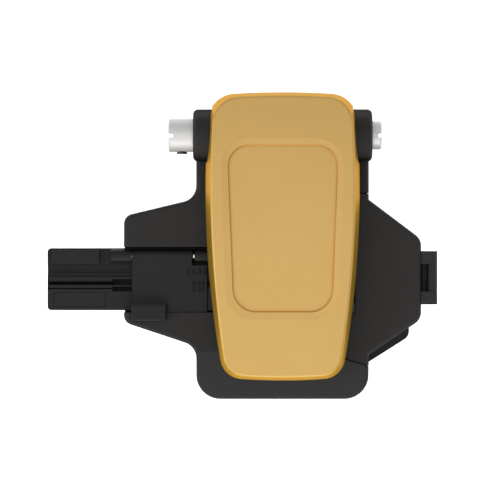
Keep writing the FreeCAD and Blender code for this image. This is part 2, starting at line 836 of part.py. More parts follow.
def make_bottom_plate():
    body = new_body("bottom_plate")
    add_block(body, "sheet", "XY", "plate_under", "plate_thick", body_outline("plate_inset"))
    round_body_corners(body, "plate_inset")
    cut_block(body, "rubber_seat", "XY", "plate_under", "rubber_recess",
              box_corners("-rubber_half_width", "rubber_half_width", "-rubber_front", "rubber_back"), back=True)
    round_corners(body, "seat_corners", "rubber_corner", box_corners(
        "-rubber_half_width", "rubber_half_width", "-rubber_front", "rubber_back"))
    cut_block(body, "screw_ways", "XY", "plate_under", "plate_thick",
              discs=[(x, y, "screw_shank") for x, y in plate_screw_spots + rod_screw_spots], back=True)
    cut_block(body, "screw_seats", "XY", "plate_under", "screw_head_height",
              discs=[(x, y, "screw_head + running_gap") for x, y in plate_screw_spots + rod_screw_spots],
              back=True)
    return body


def make_rubber():
    body = new_body("rubber_base")
    corners = box_corners("-rubber_half_width", "rubber_half_width", "-rubber_front", "rubber_back")
    add_block(body, "sheet", "XY", "0", "rubber_thick", corners)
    round_corners(body, "corners", "rubber_corner", corners)
    return body


def make_hinge_shaft():
    return rod("hinge_shaft", "X", "shaft_radius", "shaft_right - shaft_left",
               ("shaft_left", "hinge_back", "hinge_height"))


def make_cap(name, side, radius, length):
    """A slotted cap on one end of the hinge shaft."""
    body = new_body(name)
    start = "barrel_outer" if side > 0 else f"-barrel_outer - {length}"
    end = f"{start} + {length}"
    add_block(body, "knob", "YZ", start, length, discs=[("hinge_back", "hinge_height", radius)])
    outer = value(end) if side > 0 else value(start)
    round_edges(body, "rim", "cap_round", edges_where(
        body.Tip, lambda edge: abs(edge.BoundBox.XMin - outer) < 0.01 and abs(edge.BoundBox.XMax - outer) < 0.01))
    seat = "barrel_outer" if side > 0 else "-barrel_outer"
    cut_block(body, "bore", "YZ", seat, "cap_bore_depth", discs=[("hinge_back", "hinge_height", "shaft_radius")],
              back=side > 0)
    face = end if side > 0 else start
    cut_block(body, "slot", "YZ", face, "cap_slot_depth",
              box_corners("hinge_back - cap_slot_width / 2", "hinge_back + cap_slot_width / 2",
                          f"hinge_height - {radius}", f"hinge_height + {radius}"), back=side < 0)
    if side < 0:
        cut_block(body, "set_screw_hole", "XZ", f"hinge_back - {radius} - set_screw_proud",
                  "set_screw_proud + set_screw_radius",
                  discs=[("-barrel_outer - set_screw_inset", "hinge_height", "set_screw_radius")])
    return body


def make_set_screw():
    return rod("cap_set_screw", "Y", "set_screw_radius", "set_screw_proud + set_screw_radius",
               ("-barrel_outer - set_screw_inset", "hinge_back - left_cap_radius - set_screw_proud",
                "hinge_height"))


def make_holder_base():
    """The grooved fibre holder: one run of section along the fibre, with its grip and two lugs."""
    body = new_body("holder_base")
    floor_of_trough = "holder_top - trough_depth"
    add_block(body, "run", "YZ", "-holder_left", "holder_left - holder_right", [
        ("-holder_front", "holder_low"),
        ("holder_back", "holder_low"),
        ("holder_back", "holder_top"),
        ("trough_back", "holder_top"),
        ("trough_back", floor_of_trough),
        ("trough_middle + inner_trough_half", floor_of_trough),
        ("trough_middle + inner_trough_half", floor_of_trough + " - inner_trough_depth"),
        ("trough_middle - inner_trough_half", floor_of_trough + " - inner_trough_depth"),
        ("trough_middle - inner_trough_half", floor_of_trough),
        ("trough_front_edge", floor_of_trough),
        ("trough_front_edge", "holder_top"),
        ("groove_half", "holder_top"),
        ("0", "holder_top - groove_depth"),
        ("-groove_half", "holder_top"),
        ("-thin_groove_y + thin_groove_half", "holder_top"),
        ("-thin_groove_y", "holder_top - thin_groove_depth"),
        ("-thin_groove_y - thin_groove_half", "holder_top"),
        ("-holder_front", "holder_top"),
    ])
    round_corners(body, "arm_corners", "holder_corner",
                  [("-holder_left", "-holder_front"), ("-holder_left", "holder_back")])
    add_block(body, "grip", "XY", "holder_top", "grip_rise",
              box_corners("-holder_left + holder_corner", "-grip_right", "grip_front", "holder_back - box_gap"))
    for name, start, end in (("left_lug", "left_lug_left", "left_lug_right"),
                             ("right_lug", "right_lug_left", "right_lug_right")):
        add_block(body, name, "YZ", "-" + start, f"{start} - {end}",
                  discs=[("lid_pin_y", "lid_pin_height", "knuckle_radius")])
        add_block(body, name + "_foot", "YZ", "-" + start, f"{start} - {end}",
                  box_corners("lid_pin_y - knuckle_radius", "lid_pin_y + knuckle_radius",
                              "holder_top - trough_depth", "lid_pin_height"))
    cut_block(body, "knuckle_seat", "YZ", "-right_lug_left", "left_lug_right - right_lug_left",
              discs=[("lid_pin_y", "lid_pin_height", "knuckle_radius + box_gap")])
    cut_block(body, "pin_bore", "YZ", "-right_lug_right", "left_lug_left - right_lug_right",
              discs=[("lid_pin_y", "lid_pin_height", "lid_pin_radius")])
    for name, front, back in (("back_pocket", "-pocket_split_back", "pocket_back"),
                              ("front_pocket", "-pocket_front", "-pocket_split_front")):
        cut_block(body, name, "XY", "holder_top", "pocket_depth",
                  box_corners("-pocket_left", "-plate_left", front, back))
    add_block(body, "land", "XY", "holder_top - trough_depth", "plate_top - land_drop - holder_top + trough_depth",
              box_corners("-plate_right + land_gap", "-holder_right", "-holder_front", "land_back"))
    cut_block(body, "land_way", "XY", "plate_top", "plate_top - holder_top",
              box_corners("-plate_right", "-channel_end", "-land_slot", "land_slot"))
    cut_block(body, "inlay_seat", "XY", "holder_top", "inlay_depth",
              box_corners("-inlay_left", "-inlay_right", "-inlay_front", "-inlay_back"))
    cut_block(body, "magnet_seat", "XY", "holder_top", "magnet_thick",
              discs=[("-holder_magnet_x", "-holder_magnet_y", "magnet_radius")])
    cut_block(body, "screw_holes", "XY", "holder_low",
              "holder_screw_length - channel_floor + cavity_roof + running_space", back=True,
              discs=[(x, y, "screw_shank") for x, y in holder_screw_spots])
    return body


def make_holder_inlay():
    body = new_body("holder_inlay")
    add_block(body, "sheet", "XY", "holder_top - inlay_depth", "inlay_depth",
              box_corners("-inlay_left + inlay_gap", "-inlay_right - inlay_gap",
                          "-inlay_front + inlay_gap", "-inlay_back - inlay_gap"))
    return body


def make_holder_lid():
    """The small lid that presses the fibre into the grooves."""
    body = new_body("holder_lid")
    add_block(body, "plate", "XY", "plate_low", "plate_top - plate_low",
              box_corners("-plate_left", "-plate_right", "-plate_front", "lid_pin_y"))
    cut_block(body, "window", "XY", "plate_top", None,
              box_corners("-window_left", "-plate_right + box_gap", "window_front", "lid_pin_y + box_gap"))
    add_block(body, "knuckle", "YZ", "-plate_left", "plate_left - window_left",
              discs=[("lid_pin_y", "lid_pin_height", "knuckle_radius")])
    add_block(body, "tab", "YZ", "-plate_left", "plate_left - tab_right", [
        ("-plate_front", "plate_low"),
        ("-tab_ramp_back", "plate_low"),
        ("-tab_ramp_back", "plate_top"),
        ("-tab_step", "plate_top + tab_ramp_rise"),
        ("-tab_step", "plate_top + tab_rise"),
        ("-tab_front", "plate_top + tab_rise"),
        ("-tab_front", "tab_low"),
        ("-plate_front", "tab_low"),
    ])
    cut_block(body, "pin_bore", "YZ", "-window_left", "plate_left - window_left",
              discs=[("lid_pin_y", "lid_pin_height", "lid_pin_radius + running_gap")])
    cut_block(body, "pad_seat", "XY", "plate_low", "holder_pad_thick",
              box_corners("-holder_pad_left", "-holder_pad_right", "-holder_pad_front", "holder_pad_back"),
              back=True)
    cut_block(body, "magnet_seat", "XY", "plate_low", "magnet_thick",
              discs=[("-holder_magnet_x", "-holder_magnet_y", "magnet_radius")], back=True)
    return body


def make_holder_pad():
    body = new_body("holder_lid_pad")
    add_block(body, "pad", "XY", "plate_low", "holder_pad_thick",
              box_corners("-holder_pad_left", "-holder_pad_right", "-holder_pad_front", "holder_pad_back"))
    return body


def make_holder_details():
    rod("holder_pin", "X", "lid_pin_radius", "left_lug_left - right_lug_right",
        ("-left_lug_left", "lid_pin_y", "lid_pin_height"))
    magnet_x, magnet_y = "-holder_magnet_x", "-holder_magnet_y"
    rod("holder_magnet", "Z", "magnet_radius", "magnet_thick", (magnet_x, magnet_y, "holder_top - magnet_thick"))
    rod("holder_lid_magnet", "Z", "magnet_radius", "magnet_thick", (magnet_x, magnet_y, "plate_low"))
    screw_group("holder_screws", "holder_screw_length",
                [(x, y, "cavity_roof") for x, y in holder_screw_spots], head_up=False)


def box_outline():
    return [
        ("box_left", "-box_seam_left"),
        ("neck_half", "-box_seam_right"),
        ("neck_half", "-box_front_root"),
        ("box_right", "-box_front_tip"),
        ("box_right", "box_back_tip"),
        ("neck_half", "box_shoulder"),
        ("neck_half", "box_back"),
        ("box_left", "box_back"),
    ]


def make_collector_box():
    """The off-cut box: a shell that is open below, with a mouth, a door port and door lugs."""
    body = new_body("collector_box")
    corners = box_outline()
    add_block(body, "shell", "XY", "box_low", "deck_height - box_low", corners)
    round_corners(body, "tip_corners", "box_corner", corners[3:5])
    roof = value("deck_height")
    shoulder = value("neck_half")
    round_edges(body, "roof_rim", "box_edge_round", edges_where(
        body.Tip, lambda edge: edge.BoundBox.ZMin > roof - 0.01 and edge.BoundBox.XMin > shoulder - 0.01))
    cut_block(body, "hollow", "XY", "box_low", "box_roof - box_low", [
        ("box_left + box_wall", "-box_seam_left + box_wall"),
        ("neck_half", "-box_front_root + box_wall"),
        ("box_right - box_wall", "-box_front_tip + box_wall"),
        ("box_right - box_wall", "box_back_tip - box_wall"),
        ("neck_half - box_wall", "box_shoulder - box_wall"),
        ("box_left + box_wall", "box_shoulder - box_wall"),
    ], back=True)
    cut_block(body, "roller_slot", "XY", "deck_height", "deck_height - roller_frame_low",
              box_corners("box_left - box_gap", "roller_x + roller_radius + lug_gap",
                          "-roller_slot_back", "roller_slot_back"))
    cut_block(body, "port", "YZ", "box_right + box_wall", "3 * box_wall",
              box_corners("door_middle - port_half", "door_middle + port_half", "port_low", "port_top"))
    for name, back in (("back_lug", "door_middle + door_half"), ("front_lug", "door_middle - door_knuckle_half")):
        length = "door_half - door_knuckle_half"
        add_block(body, name, "XZ", back, length,
                  discs=[("door_pin_x", "door_pin_height", "door_knuckle_radius")])
        add_block(body, name + "_web", "XZ", back, length,
                  box_corners("box_right - box_wall / 2", "door_pin_x", "door_pin_height - door_knuckle_radius",
                              "door_pin_height + door_knuckle_radius"))
    cut_block(body, "pin_bore", "XZ", "door_middle", "4 * door_half",
              discs=[("door_pin_x", "door_pin_height", "door_pin_radius")], both=True)
    add_block(body, "bosses", "XY", "box_low", "box_boss_height",
              discs=[(x, y, "boss_radius") for x, y in box_screw_spots])
    add_block(body, "boss_webs", "XY", "box_low", "box_boss_height", box_corners(
        "box_left + box_wall / 2", "box_screw_x", "-box_screw_y - box_wall / 2", "-box_screw_y + box_wall / 2"))
    add_block(body, "back_boss_web", "XY", "box_low", "box_boss_height", box_corners(
        "box_left + box_wall / 2", "box_screw_x", "box_screw_y - box_wall / 2", "box_screw_y + box_wall / 2"))
    cut_block(body, "screw_holes", "XY", "box_low", "box_boss_height - box_wall / 2",
              discs=[(x, y, "screw_shank") for x, y in box_screw_spots], back=True)
    return body


def make_collector_door():
    body = new_body("collector_door")
    add_block(body, "leaf", "XZ", "door_middle + door_half - box_gap", "2 * (door_half - box_gap)", [
        ("door_inner", "door_low"),
        ("door_outer + door_lip", "door_low"),
        ("door_outer + door_lip", "door_low + door_lip"),
        ("door_outer", "door_low + 2 * door_lip"),
        ("door_outer", "door_top"),
        ("door_inner", "door_top"),
    ])
    length = "2 * (door_knuckle_half - door_knuckle_gap)"
    back = "door_middle + door_knuckle_half - door_knuckle_gap"
    add_block(body, "web", "XZ", back, length,
              box_corners("door_pin_x - door_knuckle_radius", "door_outer + door_lip / 2", "door_top - door_lip",
                          "door_pin_height"))
    add_block(body, "knuckle", "XZ", back, length,
              discs=[("door_pin_x", "door_pin_height", "door_knuckle_radius")])
    cut_block(body, "pin_bore", "XZ", "door_middle", "2 * door_half",
              discs=[("door_pin_x", "door_pin_height", "door_pin_radius + running_gap")], both=True)
    return body


def make_collector_details():
    rod("door_pin", "Y", "door_pin_radius", "2 * door_half",
        ("door_pin_x", "door_middle - door_half", "door_pin_height"))
    screw_group("collector_screws", "box_boss_height",
                [(x, y, "shelf_height - shelf_floor") for x, y in box_screw_spots], head_up=False)
    for name, height in (("upper_roller", "upper_roller_height"), ("lower_roller", "lower_roller_height")):
        rubber = rod(name + "_rubber", "Y", "roller_radius", "2 * roller_half",
                     ("roller_x", "-roller_half", height))
        shaft_way = rod(name + "_way", "Y", "roller_shaft_radius", "2 * roller_half",
                        ("roller_x", "-roller_half", height))
        less(name, rubber, shaft_way)
        rod(name + "_shaft", "Y", "roller_shaft_radius", "2 * roller_frame_outer",
            ("roller_x", "-roller_frame_outer", height))


def make_roller_frame():
    body = new_body("roller_frame")
    left = "box_left + box_gap"
    right = "roller_x + roller_radius"
    add_block(body, "bridge", "XY", "roller_frame_low", "box_wall / 2",
              box_corners(left, right, "-roller_frame_outer", "roller_frame_outer"))
    for name, low, high in (("front_cheek", "-roller_frame_outer", "-roller_frame_inner"),
                            ("back_cheek", "roller_frame_inner", "roller_frame_outer")):
        add_block(body, name, "XY", "roller_frame_low", "deck_height - box_gap - roller_frame_low",
                  box_corners(left, right, low, high))
    cut_block(body, "shaft_bores", "XZ", "0", "4 * roller_frame_outer", discs=[
        ("roller_x", "upper_roller_height", "roller_shaft_radius + running_gap"),
        ("roller_x", "lower_roller_height", "roller_shaft_radius + running_gap")], both=True)
    return body


def lid_outline(inset):
    """The lid seen from above: four bowed edges."""
    return [
        (f"-rim_front_half + {inset}", f"-rim_front + {inset}", "rim_front_bow"),
        (f"rim_front_half - {inset}", f"-rim_front + {inset}", "rim_side_bow"),
        (f"rim_back_half - {inset}", f"rim_back - {inset}", "rim_back_bow"),
        (f"-rim_back_half + {inset}", f"rim_back - {inset}", "rim_side_bow"),
    ]


def round_lid_corners(body, name, inset):
    corners = [corner[:2] for corner in lid_outline(inset)]
    round_corners(body, name + "_front", "rim_front_corner", corners[:2])
    round_corners(body, name + "_back", "rim_back_corner", corners[2:])


def above_crown(drop):
    """Side view of all that lies above the lid's crown, or above it lowered by drop."""
    return [
        ("rim_back + wall", f"crown_back - {drop}", "crown_bow"),
        ("-rim_front - wall", f"crown_front - {drop}"),
        ("-rim_front - wall", "crown_back + 2 * wall"),
        ("rim_back + wall", "crown_back + 2 * wall"),
    ]


lid_screw_spots = [
    ("-lid_screw_front_x", "-lid_screw_front"),
    ("lid_screw_front_x", "-lid_screw_front"),
    ("lid_screw_back_x", "lid_screw_back"),
    ("-lid_screw_back_x", "lid_screw_back"),
]

latch_spots = [("-latch_x", "-latch_front"), ("latch_x", "-latch_front")]


def make_lid_solid(name, inset, drop, front_corner, back_corner, crown_round):
    """A solid in the lid's outer form, drawn in by inset and with its crown lowered by drop."""
    body = new_body(name)
    add_block(body, name + "_block", "XY", "rim_low", "crown_back + wall - rim_low", lid_outline(inset),
              taper="rim_taper")
    corners = [corner[:2] for corner in lid_outline(inset)]
    round_corners(body, name + "_front", front_corner, corners[:2])
    round_corners(body, name + "_back", back_corner, corners[2:])
    cut_block(body, name + "_crown", "YZ", "0", None, above_crown(drop), both=True)
    crown_low = value(f"crown_front - {drop} - {crown_round}")
    round_edges(body, name + "_rim", crown_round, edges_where(
        body.Tip, lambda edge: edge.BoundBox.ZMin > crown_low))
    return body


def make_dish_tool(name, spread, depth, slope, rise):
    """Cuts a sunk panel that follows the crown, its floor drawn in from the wall by a slope."""
    dish = new_body(name)
    corners = [
        (f"-dish_front_half - {spread}", f"-dish_front - {spread}"),
        (f"dish_front_half + {spread}", f"-dish_front - {spread}"),
        (f"dish_back_half + {spread}", f"dish_back + {spread}"),
        (f"-dish_back_half - {spread}", f"dish_back + {spread}"),
    ]
    add_block(dish, "panel", "XY", "rim_low", "crown_back + 2 * wall - rim_low", corners)
    round_corners(dish, "panel_corners", f"dish_corner + {spread}", corners)
    cut_block(dish, "panel_floor", "YZ", "0", None, [
        ("-rim_front - wall", "rim_low - wall"),
        ("rim_back + wall", "rim_low - wall"),
        ("rim_back + wall", f"crown_back - {depth}", "crown_bow"),
        ("-rim_front - wall", f"crown_front - {depth}"),
    ], both=True)
    panel_top = value("crown_back + 2 * wall")
    bevel_edges(dish, "panel_edge", slope, edges_where(
        dish.Tip, lambda edge: max(corner.Z for corner in edge.Vertexes) < panel_top - 0.01), rise)
    return dish


def make_lid_cover():
    """The outer lid shell: tapered sides, a crowned top with a shallow dish, notches for the barrels."""
    shell = make_lid_solid("lid_shell", "0", "0", "rim_front_corner", "rim_back_corner", "crown_round")
    cut_block(shell, "barrel_notch", "YZ", "0", None,
              discs=[("hinge_back", "hinge_height", "barrel_radius + notch_gap")], both=True)
    core = make_lid_solid("lid_core", "cover_wall", "cover_wall", "rim_front_corner - cover_wall",
                          "rim_back_corner - cover_wall", "crown_round / 2")
    cut_block(core, "bosses", "XY", "crown_back + 2 * wall", "crown_back + 2 * wall - frame_top - frame_gap",
              discs=[(x, y, "lid_boss_radius") for x, y in lid_screw_spots])
    add_block(core, "boss_holes", "XY", "frame_top", "lid_screw_length / 2",
              discs=[(x, y, "screw_shank") for x, y in lid_screw_spots])
    border = make_dish_tool("border_tool", "dish_slope", "border_depth", "dish_slope", "dish_rise")
    panel = make_dish_tool("panel_tool", "0", "dish_depth", "panel_slope", "panel_rise")
    return less("lid_cover", less("lid_hollow", less("lid_bordered", shell, border), core), panel)


def arm_corners(half):
    """The drive arm's sides, from the hinge axis down to its pin."""
    reach_y = f"{half} * cos(drive_angle)"
    reach_z = f"{half} * sin(drive_angle)"
    return [
        (f"hinge_back - {reach_y}", f"hinge_height - {reach_z}"),
        (f"drive_y - {reach_y}", f"drive_height - {reach_z}"),
        (f"drive_y + {reach_y}", f"drive_height + {reach_z}"),
        (f"hinge_back + {reach_y}", f"hinge_height + {reach_z}"),
    ]


def make_lid_frame():
    """The frame under the cover: flange and plug, hinge lugs, and the arm that drives the carriage."""
    body = new_body("lid_frame")
    add_block(body, "flange", "XY", "frame_low", "flange_thick", lid_outline("frame_inset"))
    round_lid_corners(body, "flange", "frame_inset")
    plug = lid_outline("frame_plug_inset")
    add_block(body, "plug", "XY", "rim_low - frame_gap", "frame_top - rim_low + frame_gap", plug)
    cut_block(body, "back_cut", "XY", "frame_top + wall", None,
              box_corners("-barrel_outer", "barrel_outer", "hinge_back - barrel_radius - running_space",
                          "rim_back + 2 * wall"))
    front = "hinge_back - barrel_radius - 2 * running_space"
    lug_width = "tower_gap - lug_gap - lug_inner"
    half_hub = "fork_half + box_gap + drive_arm_width"
    for name, start, width, radius in (
            ("left_lug", "-tower_gap + lug_gap", lug_width, "lug_radius"),
            ("right_lug", "lug_inner", lug_width, "lug_radius"),
            ("hub", f"-({half_hub})", f"2 * ({half_hub})", "hub_radius")):
        add_block(body, name, "YZ", start, width, discs=[("hinge_back", "hinge_height", radius)])
        add_block(body, name + "_web", "YZ", start, width,
                  box_corners(front, "hinge_back", "frame_low + running_space", "frame_top"))
    for name, start in (("left_arm", f"-({half_hub})"), ("right_arm", "fork_half + box_gap")):
        add_block(body, name, "YZ", start, "drive_arm_width", arm_corners("drive_eye"))
        add_block(body, name + "_eye", "YZ", start, "drive_arm_width",
                  discs=[("drive_y", "drive_height", "drive_eye")])
    cut_block(body, "shaft_bore", "YZ", "0", "2 * barrel_outer",
              discs=[("hinge_back", "hinge_height", "shaft_radius + running_gap")], both=True)
    cut_block(body, "drive_bore", "YZ", "0", f"2 * ({half_hub}) + running_space",
              discs=[("drive_y", "drive_height", "drive_pin_radius")], both=True)
    cut_block(body, "press_pocket", "XY", "frame_low", "press_top + float_travel + box_gap - frame_low",
              box_corners("-press_width - box_gap", "press_width + box_gap", "-press_front - box_gap",
                          "press_back + box_gap"), back=True)
    cut_block(body, "anvil_slot", "XY", "frame_top + wall", None,
              box_corners("-anvil_half - box_gap", "anvil_half + box_gap", "-anvil_tip_front - 2 * box_gap",
                          "anvil_pin_y + anvil_eye + box_gap"))
    cut_block(body, "anvil_pin_bore", "YZ", "0", "2 * press_gap + 4 * anvil_half",
              discs=[("anvil_pin_y", "anvil_pin_height", "anvil_pin_radius")], both=True)
    cut_block(body, "screw_ways", "XY", "frame_low", "frame_top - frame_low",
              discs=[(x, y, "screw_shank") for x, y in lid_screw_spots], back=True)
    cut_block(body, "screw_seats", "XY", "frame_low", "screw_head_height",
              discs=[(x, y, "screw_head + running_gap") for x, y in lid_screw_spots], back=True)
    cut_block(body, "press_screw_ways", "XY", "frame_top + wall", None,
              discs=[("-press_screw_x", "0", "screw_shank + running_gap"),
                     ("press_screw_x", "0", "screw_shank + running_gap")])
    cut_block(body, "latch_seats", "XY", "frame_low", "latch_thick",
              discs=[(x, y, "latch_radius") for x, y in latch_spots], back=True)
    return body


def make_lid_details():
    screw_group("lid_screws", "lid_screw_length",
                [(x, y, "frame_low + screw_head_height") for x, y in lid_screw_spots], head_up=False)
    joined("lid_latch_plates", "Compound", [
        rod("lid_latch_" + str(number), "Z", "latch_radius", "latch_thick", (x, y, "frame_low"))
        for number, (x, y) in enumerate(latch_spots, 1)])
    joined("latch_magnets", "Compound", [
        rod("body_latch_" + str(number), "Z", "latch_radius", "latch_thick", (x, y, "deck_height - latch_thick"))
        for number, (x, y) in enumerate(latch_spots, 1)])
    joined("lid_bumpers", "Compound", [
        rod("bumper_" + str(number), "Z", "bumper_radius",
            "frame_low - box_gap - deck_height + bumper_seat", (x, "bumper_back", "deck_height - bumper_seat"))
        for number, x in enumerate(("-bumper_x", "bumper_x"), 1)])
    half_hub = "fork_half + box_gap + drive_arm_width"
    rod("drive_pin", "X", "drive_pin_radius", f"2 * ({half_hub})", (f"-({half_hub})", "drive_y", "drive_height"))
    rod("anvil_pin", "X", "anvil_pin_radius", "2 * press_gap + 4 * anvil_half",
        ("-press_gap - 2 * anvil_half", "anvil_pin_y", "anvil_pin_height"))


def make_upper_clamp():
    """The floating clamp under the lid: two legs joined at the front, with the anvil between them."""
    body = new_body("upper_clamp")
    add_block(body, "fork", "XY", "press_height", "press_top - press_height", [
        ("-press_width", "-press_front"),
        ("press_width", "-press_front"),
        ("press_width", "press_back"),
        ("press_gap", "press_back"),
        ("press_gap", "-press_front + press_bridge"),
        ("-press_gap", "-press_front + press_bridge"),
        ("-press_gap", "press_back"),
        ("-press_width", "press_back"),
    ])
    cut_block(body, "pad_seats", "XY", "press_height", "clamp_pad_seat",
              box_corners("clamp_pad_left", "clamp_pad_right", "-clamp_pad_half", "clamp_pad_half"), back=True)
    cut_block(body, "left_pad_seat", "XY", "press_height", "clamp_pad_seat",
              box_corners("-clamp_pad_right", "-clamp_pad_left", "-clamp_pad_half", "clamp_pad_half"), back=True)
    cut_block(body, "screw_holes", "XY", "press_top", "press_top - press_height - 2 * clamp_pad_seat",
              discs=[("-press_screw_x", "0", "screw_shank"), ("press_screw_x", "0", "screw_shank")])
    return body


def make_clamp_pad(name, side, low, high):
    body = new_body(name)
    corners = box_corners("clamp_pad_left", "clamp_pad_right", "-clamp_pad_half", "clamp_pad_half")
    if side < 0:
        corners = box_corners("-clamp_pad_right", "-clamp_pad_left", "-clamp_pad_half", "clamp_pad_half")
    add_block(body, "pad", "XY", low, f"{high} - ({low})", corners)
    return body


def make_lower_clamp(name, side):
    """A clamp block that bridges from the deck's ledge to the blade's slot."""
    body = new_body(name)
    near, far = ("blade_gap", "clamp_end") if side > 0 else ("-clamp_end", "-blade_gap")
    add_block(body, "block", "XY", "clamp_ledge", "clamp_top - clamp_ledge",
              box_corners(near, far, "-clamp_half_depth", "clamp_half_depth"))
    near, far = ("clamp_pad_left", "clamp_pad_right") if side > 0 else ("-clamp_pad_right", "-clamp_pad_left")
    cut_block(body, "pad_seat", "XY", "clamp_top", "clamp_pad_seat",
              box_corners(near, far, "-clamp_pad_half", "clamp_pad_half"))
    x = "clamp_screw_x" if side > 0 else "-clamp_screw_x"
    cut_block(body, "screw_ways", "XY", "clamp_top", None,
              discs=[(x, "-clamp_screw_y", "screw_shank"), (x, "clamp_screw_y", "screw_shank")])
    return body


def make_clamps():
    make_upper_clamp()
    for name, side in (("left", -1), ("right", 1)):
        make_lower_clamp(name + "_clamp", side)
        make_clamp_pad(name + "_lower_pad", side, "clamp_pad_low", "clamp_pad_top")
        make_clamp_pad(name + "_upper_pad", side, "press_pad_low", "press_height + clamp_pad_seat")
    screw_group("clamp_screws", "clamp_screw_length", [
        (x, y, "clamp_top") for x in ("-clamp_screw_x", "clamp_screw_x")
        for y in ("-clamp_screw_y", "clamp_screw_y")])
    screw_group("press_screws", "press_screw_length", [
        (x, "0", "frame_top + running_gap") for x in ("-press_screw_x", "press_screw_x")])


def make_anvil_arm():
    body = new_body("anvil_arm")
    start = "-anvil_half"
    width = "2 * anvil_half"
    add_block(body, "arm", "YZ", start, width, [
        ("-anvil_tip_front", "anvil_pad_top"),
        ("anvil_tip_front", "anvil_pad_top"),
        ("anvil_pin_y", "anvil_pin_height - anvil_eye + running_gap"),
        ("anvil_pin_y", "anvil_pin_height + anvil_eye - running_gap"),
        ("-anvil_tip_front", "anvil_arm_top"),
    ])
    add_block(body, "eye", "YZ", start, width, discs=[("anvil_pin_y", "anvil_pin_height", "anvil_eye")])
    cut_block(body, "pin_bore", "YZ", "0", "4 * anvil_half",
              discs=[("anvil_pin_y", "anvil_pin_height", "anvil_pin_radius + running_gap")], both=True)
    cut_block(body, "pad_seat", "XY", "anvil_pad_top", "clamp_pad_seat", back=True,
              corners=box_corners("-anvil_half", "anvil_half", "-anvil_tip_front / 2", "anvil_tip_front / 2"))
    return body


def make_anvil_pad():
    body = new_body("anvil_pad")
    add_block(body, "pad", "XY", "anvil_pad_low", "anvil_pad_top - anvil_pad_low",
              box_corners("-anvil_half", "anvil_half", "-anvil_tip_front", "anvil_tip_front"))
    add_block(body, "tenon", "XY", "anvil_pad_top", "clamp_pad_seat",
              box_corners("-anvil_half", "anvil_half", "-anvil_tip_front / 2", "anvil_tip_front / 2"))
    return body


def make_carriage():
    """The blade carriage: a block on two rods, the blade's bracket, and a forked tail."""
    body = new_body("blade_carriage")
    add_block(body, "block", "XY", "carriage_low", "carriage_top - carriage_low",
              box_corners("-carriage_half", "carriage_half", "blade_back - carriage_half_length",
                          "blade_back + carriage_half_length"))
    cut_block(body, "blade_slot", "XY", "carriage_top", "carriage_top - blade_height + blade_radius + box_gap",
              box_corners("-blade_thick", "blade_thick", "blade_back - blade_radius - box_gap",
                          "blade_back + blade_radius + box_gap"))
    add_block(body, "bracket", "XY", "carriage_top", "bracket_top - carriage_top",
              box_corners("bracket_left", "bracket_right", "blade_back - bracket_half",
                          "blade_back + bracket_half"))
    cut_block(body, "blade_bore", "YZ", "bracket_right", "bracket_right - bracket_left",
              discs=[("blade_back", "blade_height", "blade_bore")])
    add_block(body, "tail", "XY", "tail_low", "tail_top - tail_low",
              box_corners("-tail_half", "tail_half", "blade_back + blade_radius + running_space",
                          "drive_y + fork_outer"))
    for name, low, high in (("front_prong", "drive_y - fork_outer", "drive_y - fork_inner"),
                            ("back_prong", "drive_y + fork_inner", "drive_y + fork_outer")):
        add_block(body, name, "XY", "tail_top", "fork_top - tail_top",
                  box_corners("-fork_half", "fork_half", low, high))
    cut_block(body, "rod_bores", "XZ", "blade_back", "4 * carriage_half_length", both=True, discs=[
        ("-rod_x", "rod_height", "rod_radius + running_gap"),
        ("rod_x", "rod_height", "rod_radius + running_gap")])
    return body


def make_rod_block(name, back):
    body = new_body(name)
    add_block(body, "block", "XZ", back, "rod_block_length",
              box_corners("-rod_block_half", "rod_block_half", "floor_low", "rod_block_top"))
    cut_block(body, "rod_bores", "XZ", back, "4 * rod_block_length", both=True, discs=[
        ("-rod_x", "rod_height", "rod_radius"), ("rod_x", "rod_height", "rod_radius")])
    cut_block(body, "screw_holes", "XY", "floor_low", "plate_screw_length / 2", back=True, discs=[
        ("-rod_screw_x", f"{back} - rod_block_length / 2", "screw_shank"),
        ("rod_screw_x", f"{back} - rod_block_length / 2", "screw_shank")])
    return body


def make_blade():
    body = new_body("blade")
    add_block(body, "disc", "YZ", "-blade_thick / 2", "blade_thick",
              discs=[("blade_back", "blade_height", "blade_radius")])
    bevel_edges(body, "edge", "blade_thick / 2 - running_gap", edges_where(
        body.Tip, lambda edge: len(edge.Vertexes) == 1))
    cut_block(body, "bore", "YZ", "0", "2 * blade_thick",
              discs=[("blade_back", "blade_height", "blade_bore + running_gap")], both=True)
    return body


def make_blade_hub():
    """The two discs that hold the blade between them."""
    discs = []
    for name, start in (("left", "-hub_disc_end"), ("right", "blade_thick / 2")):
        disc = rod("hub_" + name, "X", "hub_disc_radius", "hub_disc_end - blade_thick / 2",
                   (start, "blade_back", "blade_height"))
        way = rod("hub_way_" + name, "X", "blade_bore + running_gap", "hub_disc_end - blade_thick / 2",
                  (start, "blade_back", "blade_height"))
        discs.append(less("hub_disc_" + name, disc, way))
    return joined("blade_hub", "Compound", discs)


def make_blade_shaft():
    start = "-hub_disc_end - running_gap"
    shaft = rod("blade_shaft_rod", "X", "blade_bore", f"bracket_right - ({start})",
                (start, "blade_back", "blade_height"))
    head = rod("blade_shaft_head", "X", "blade_screw_head", f"blade_screw_head_end + {start}",
               ("-blade_screw_head_end", "blade_back", "blade_height"))
    return joined("blade_shaft", "MultiFuse", [shaft, head])


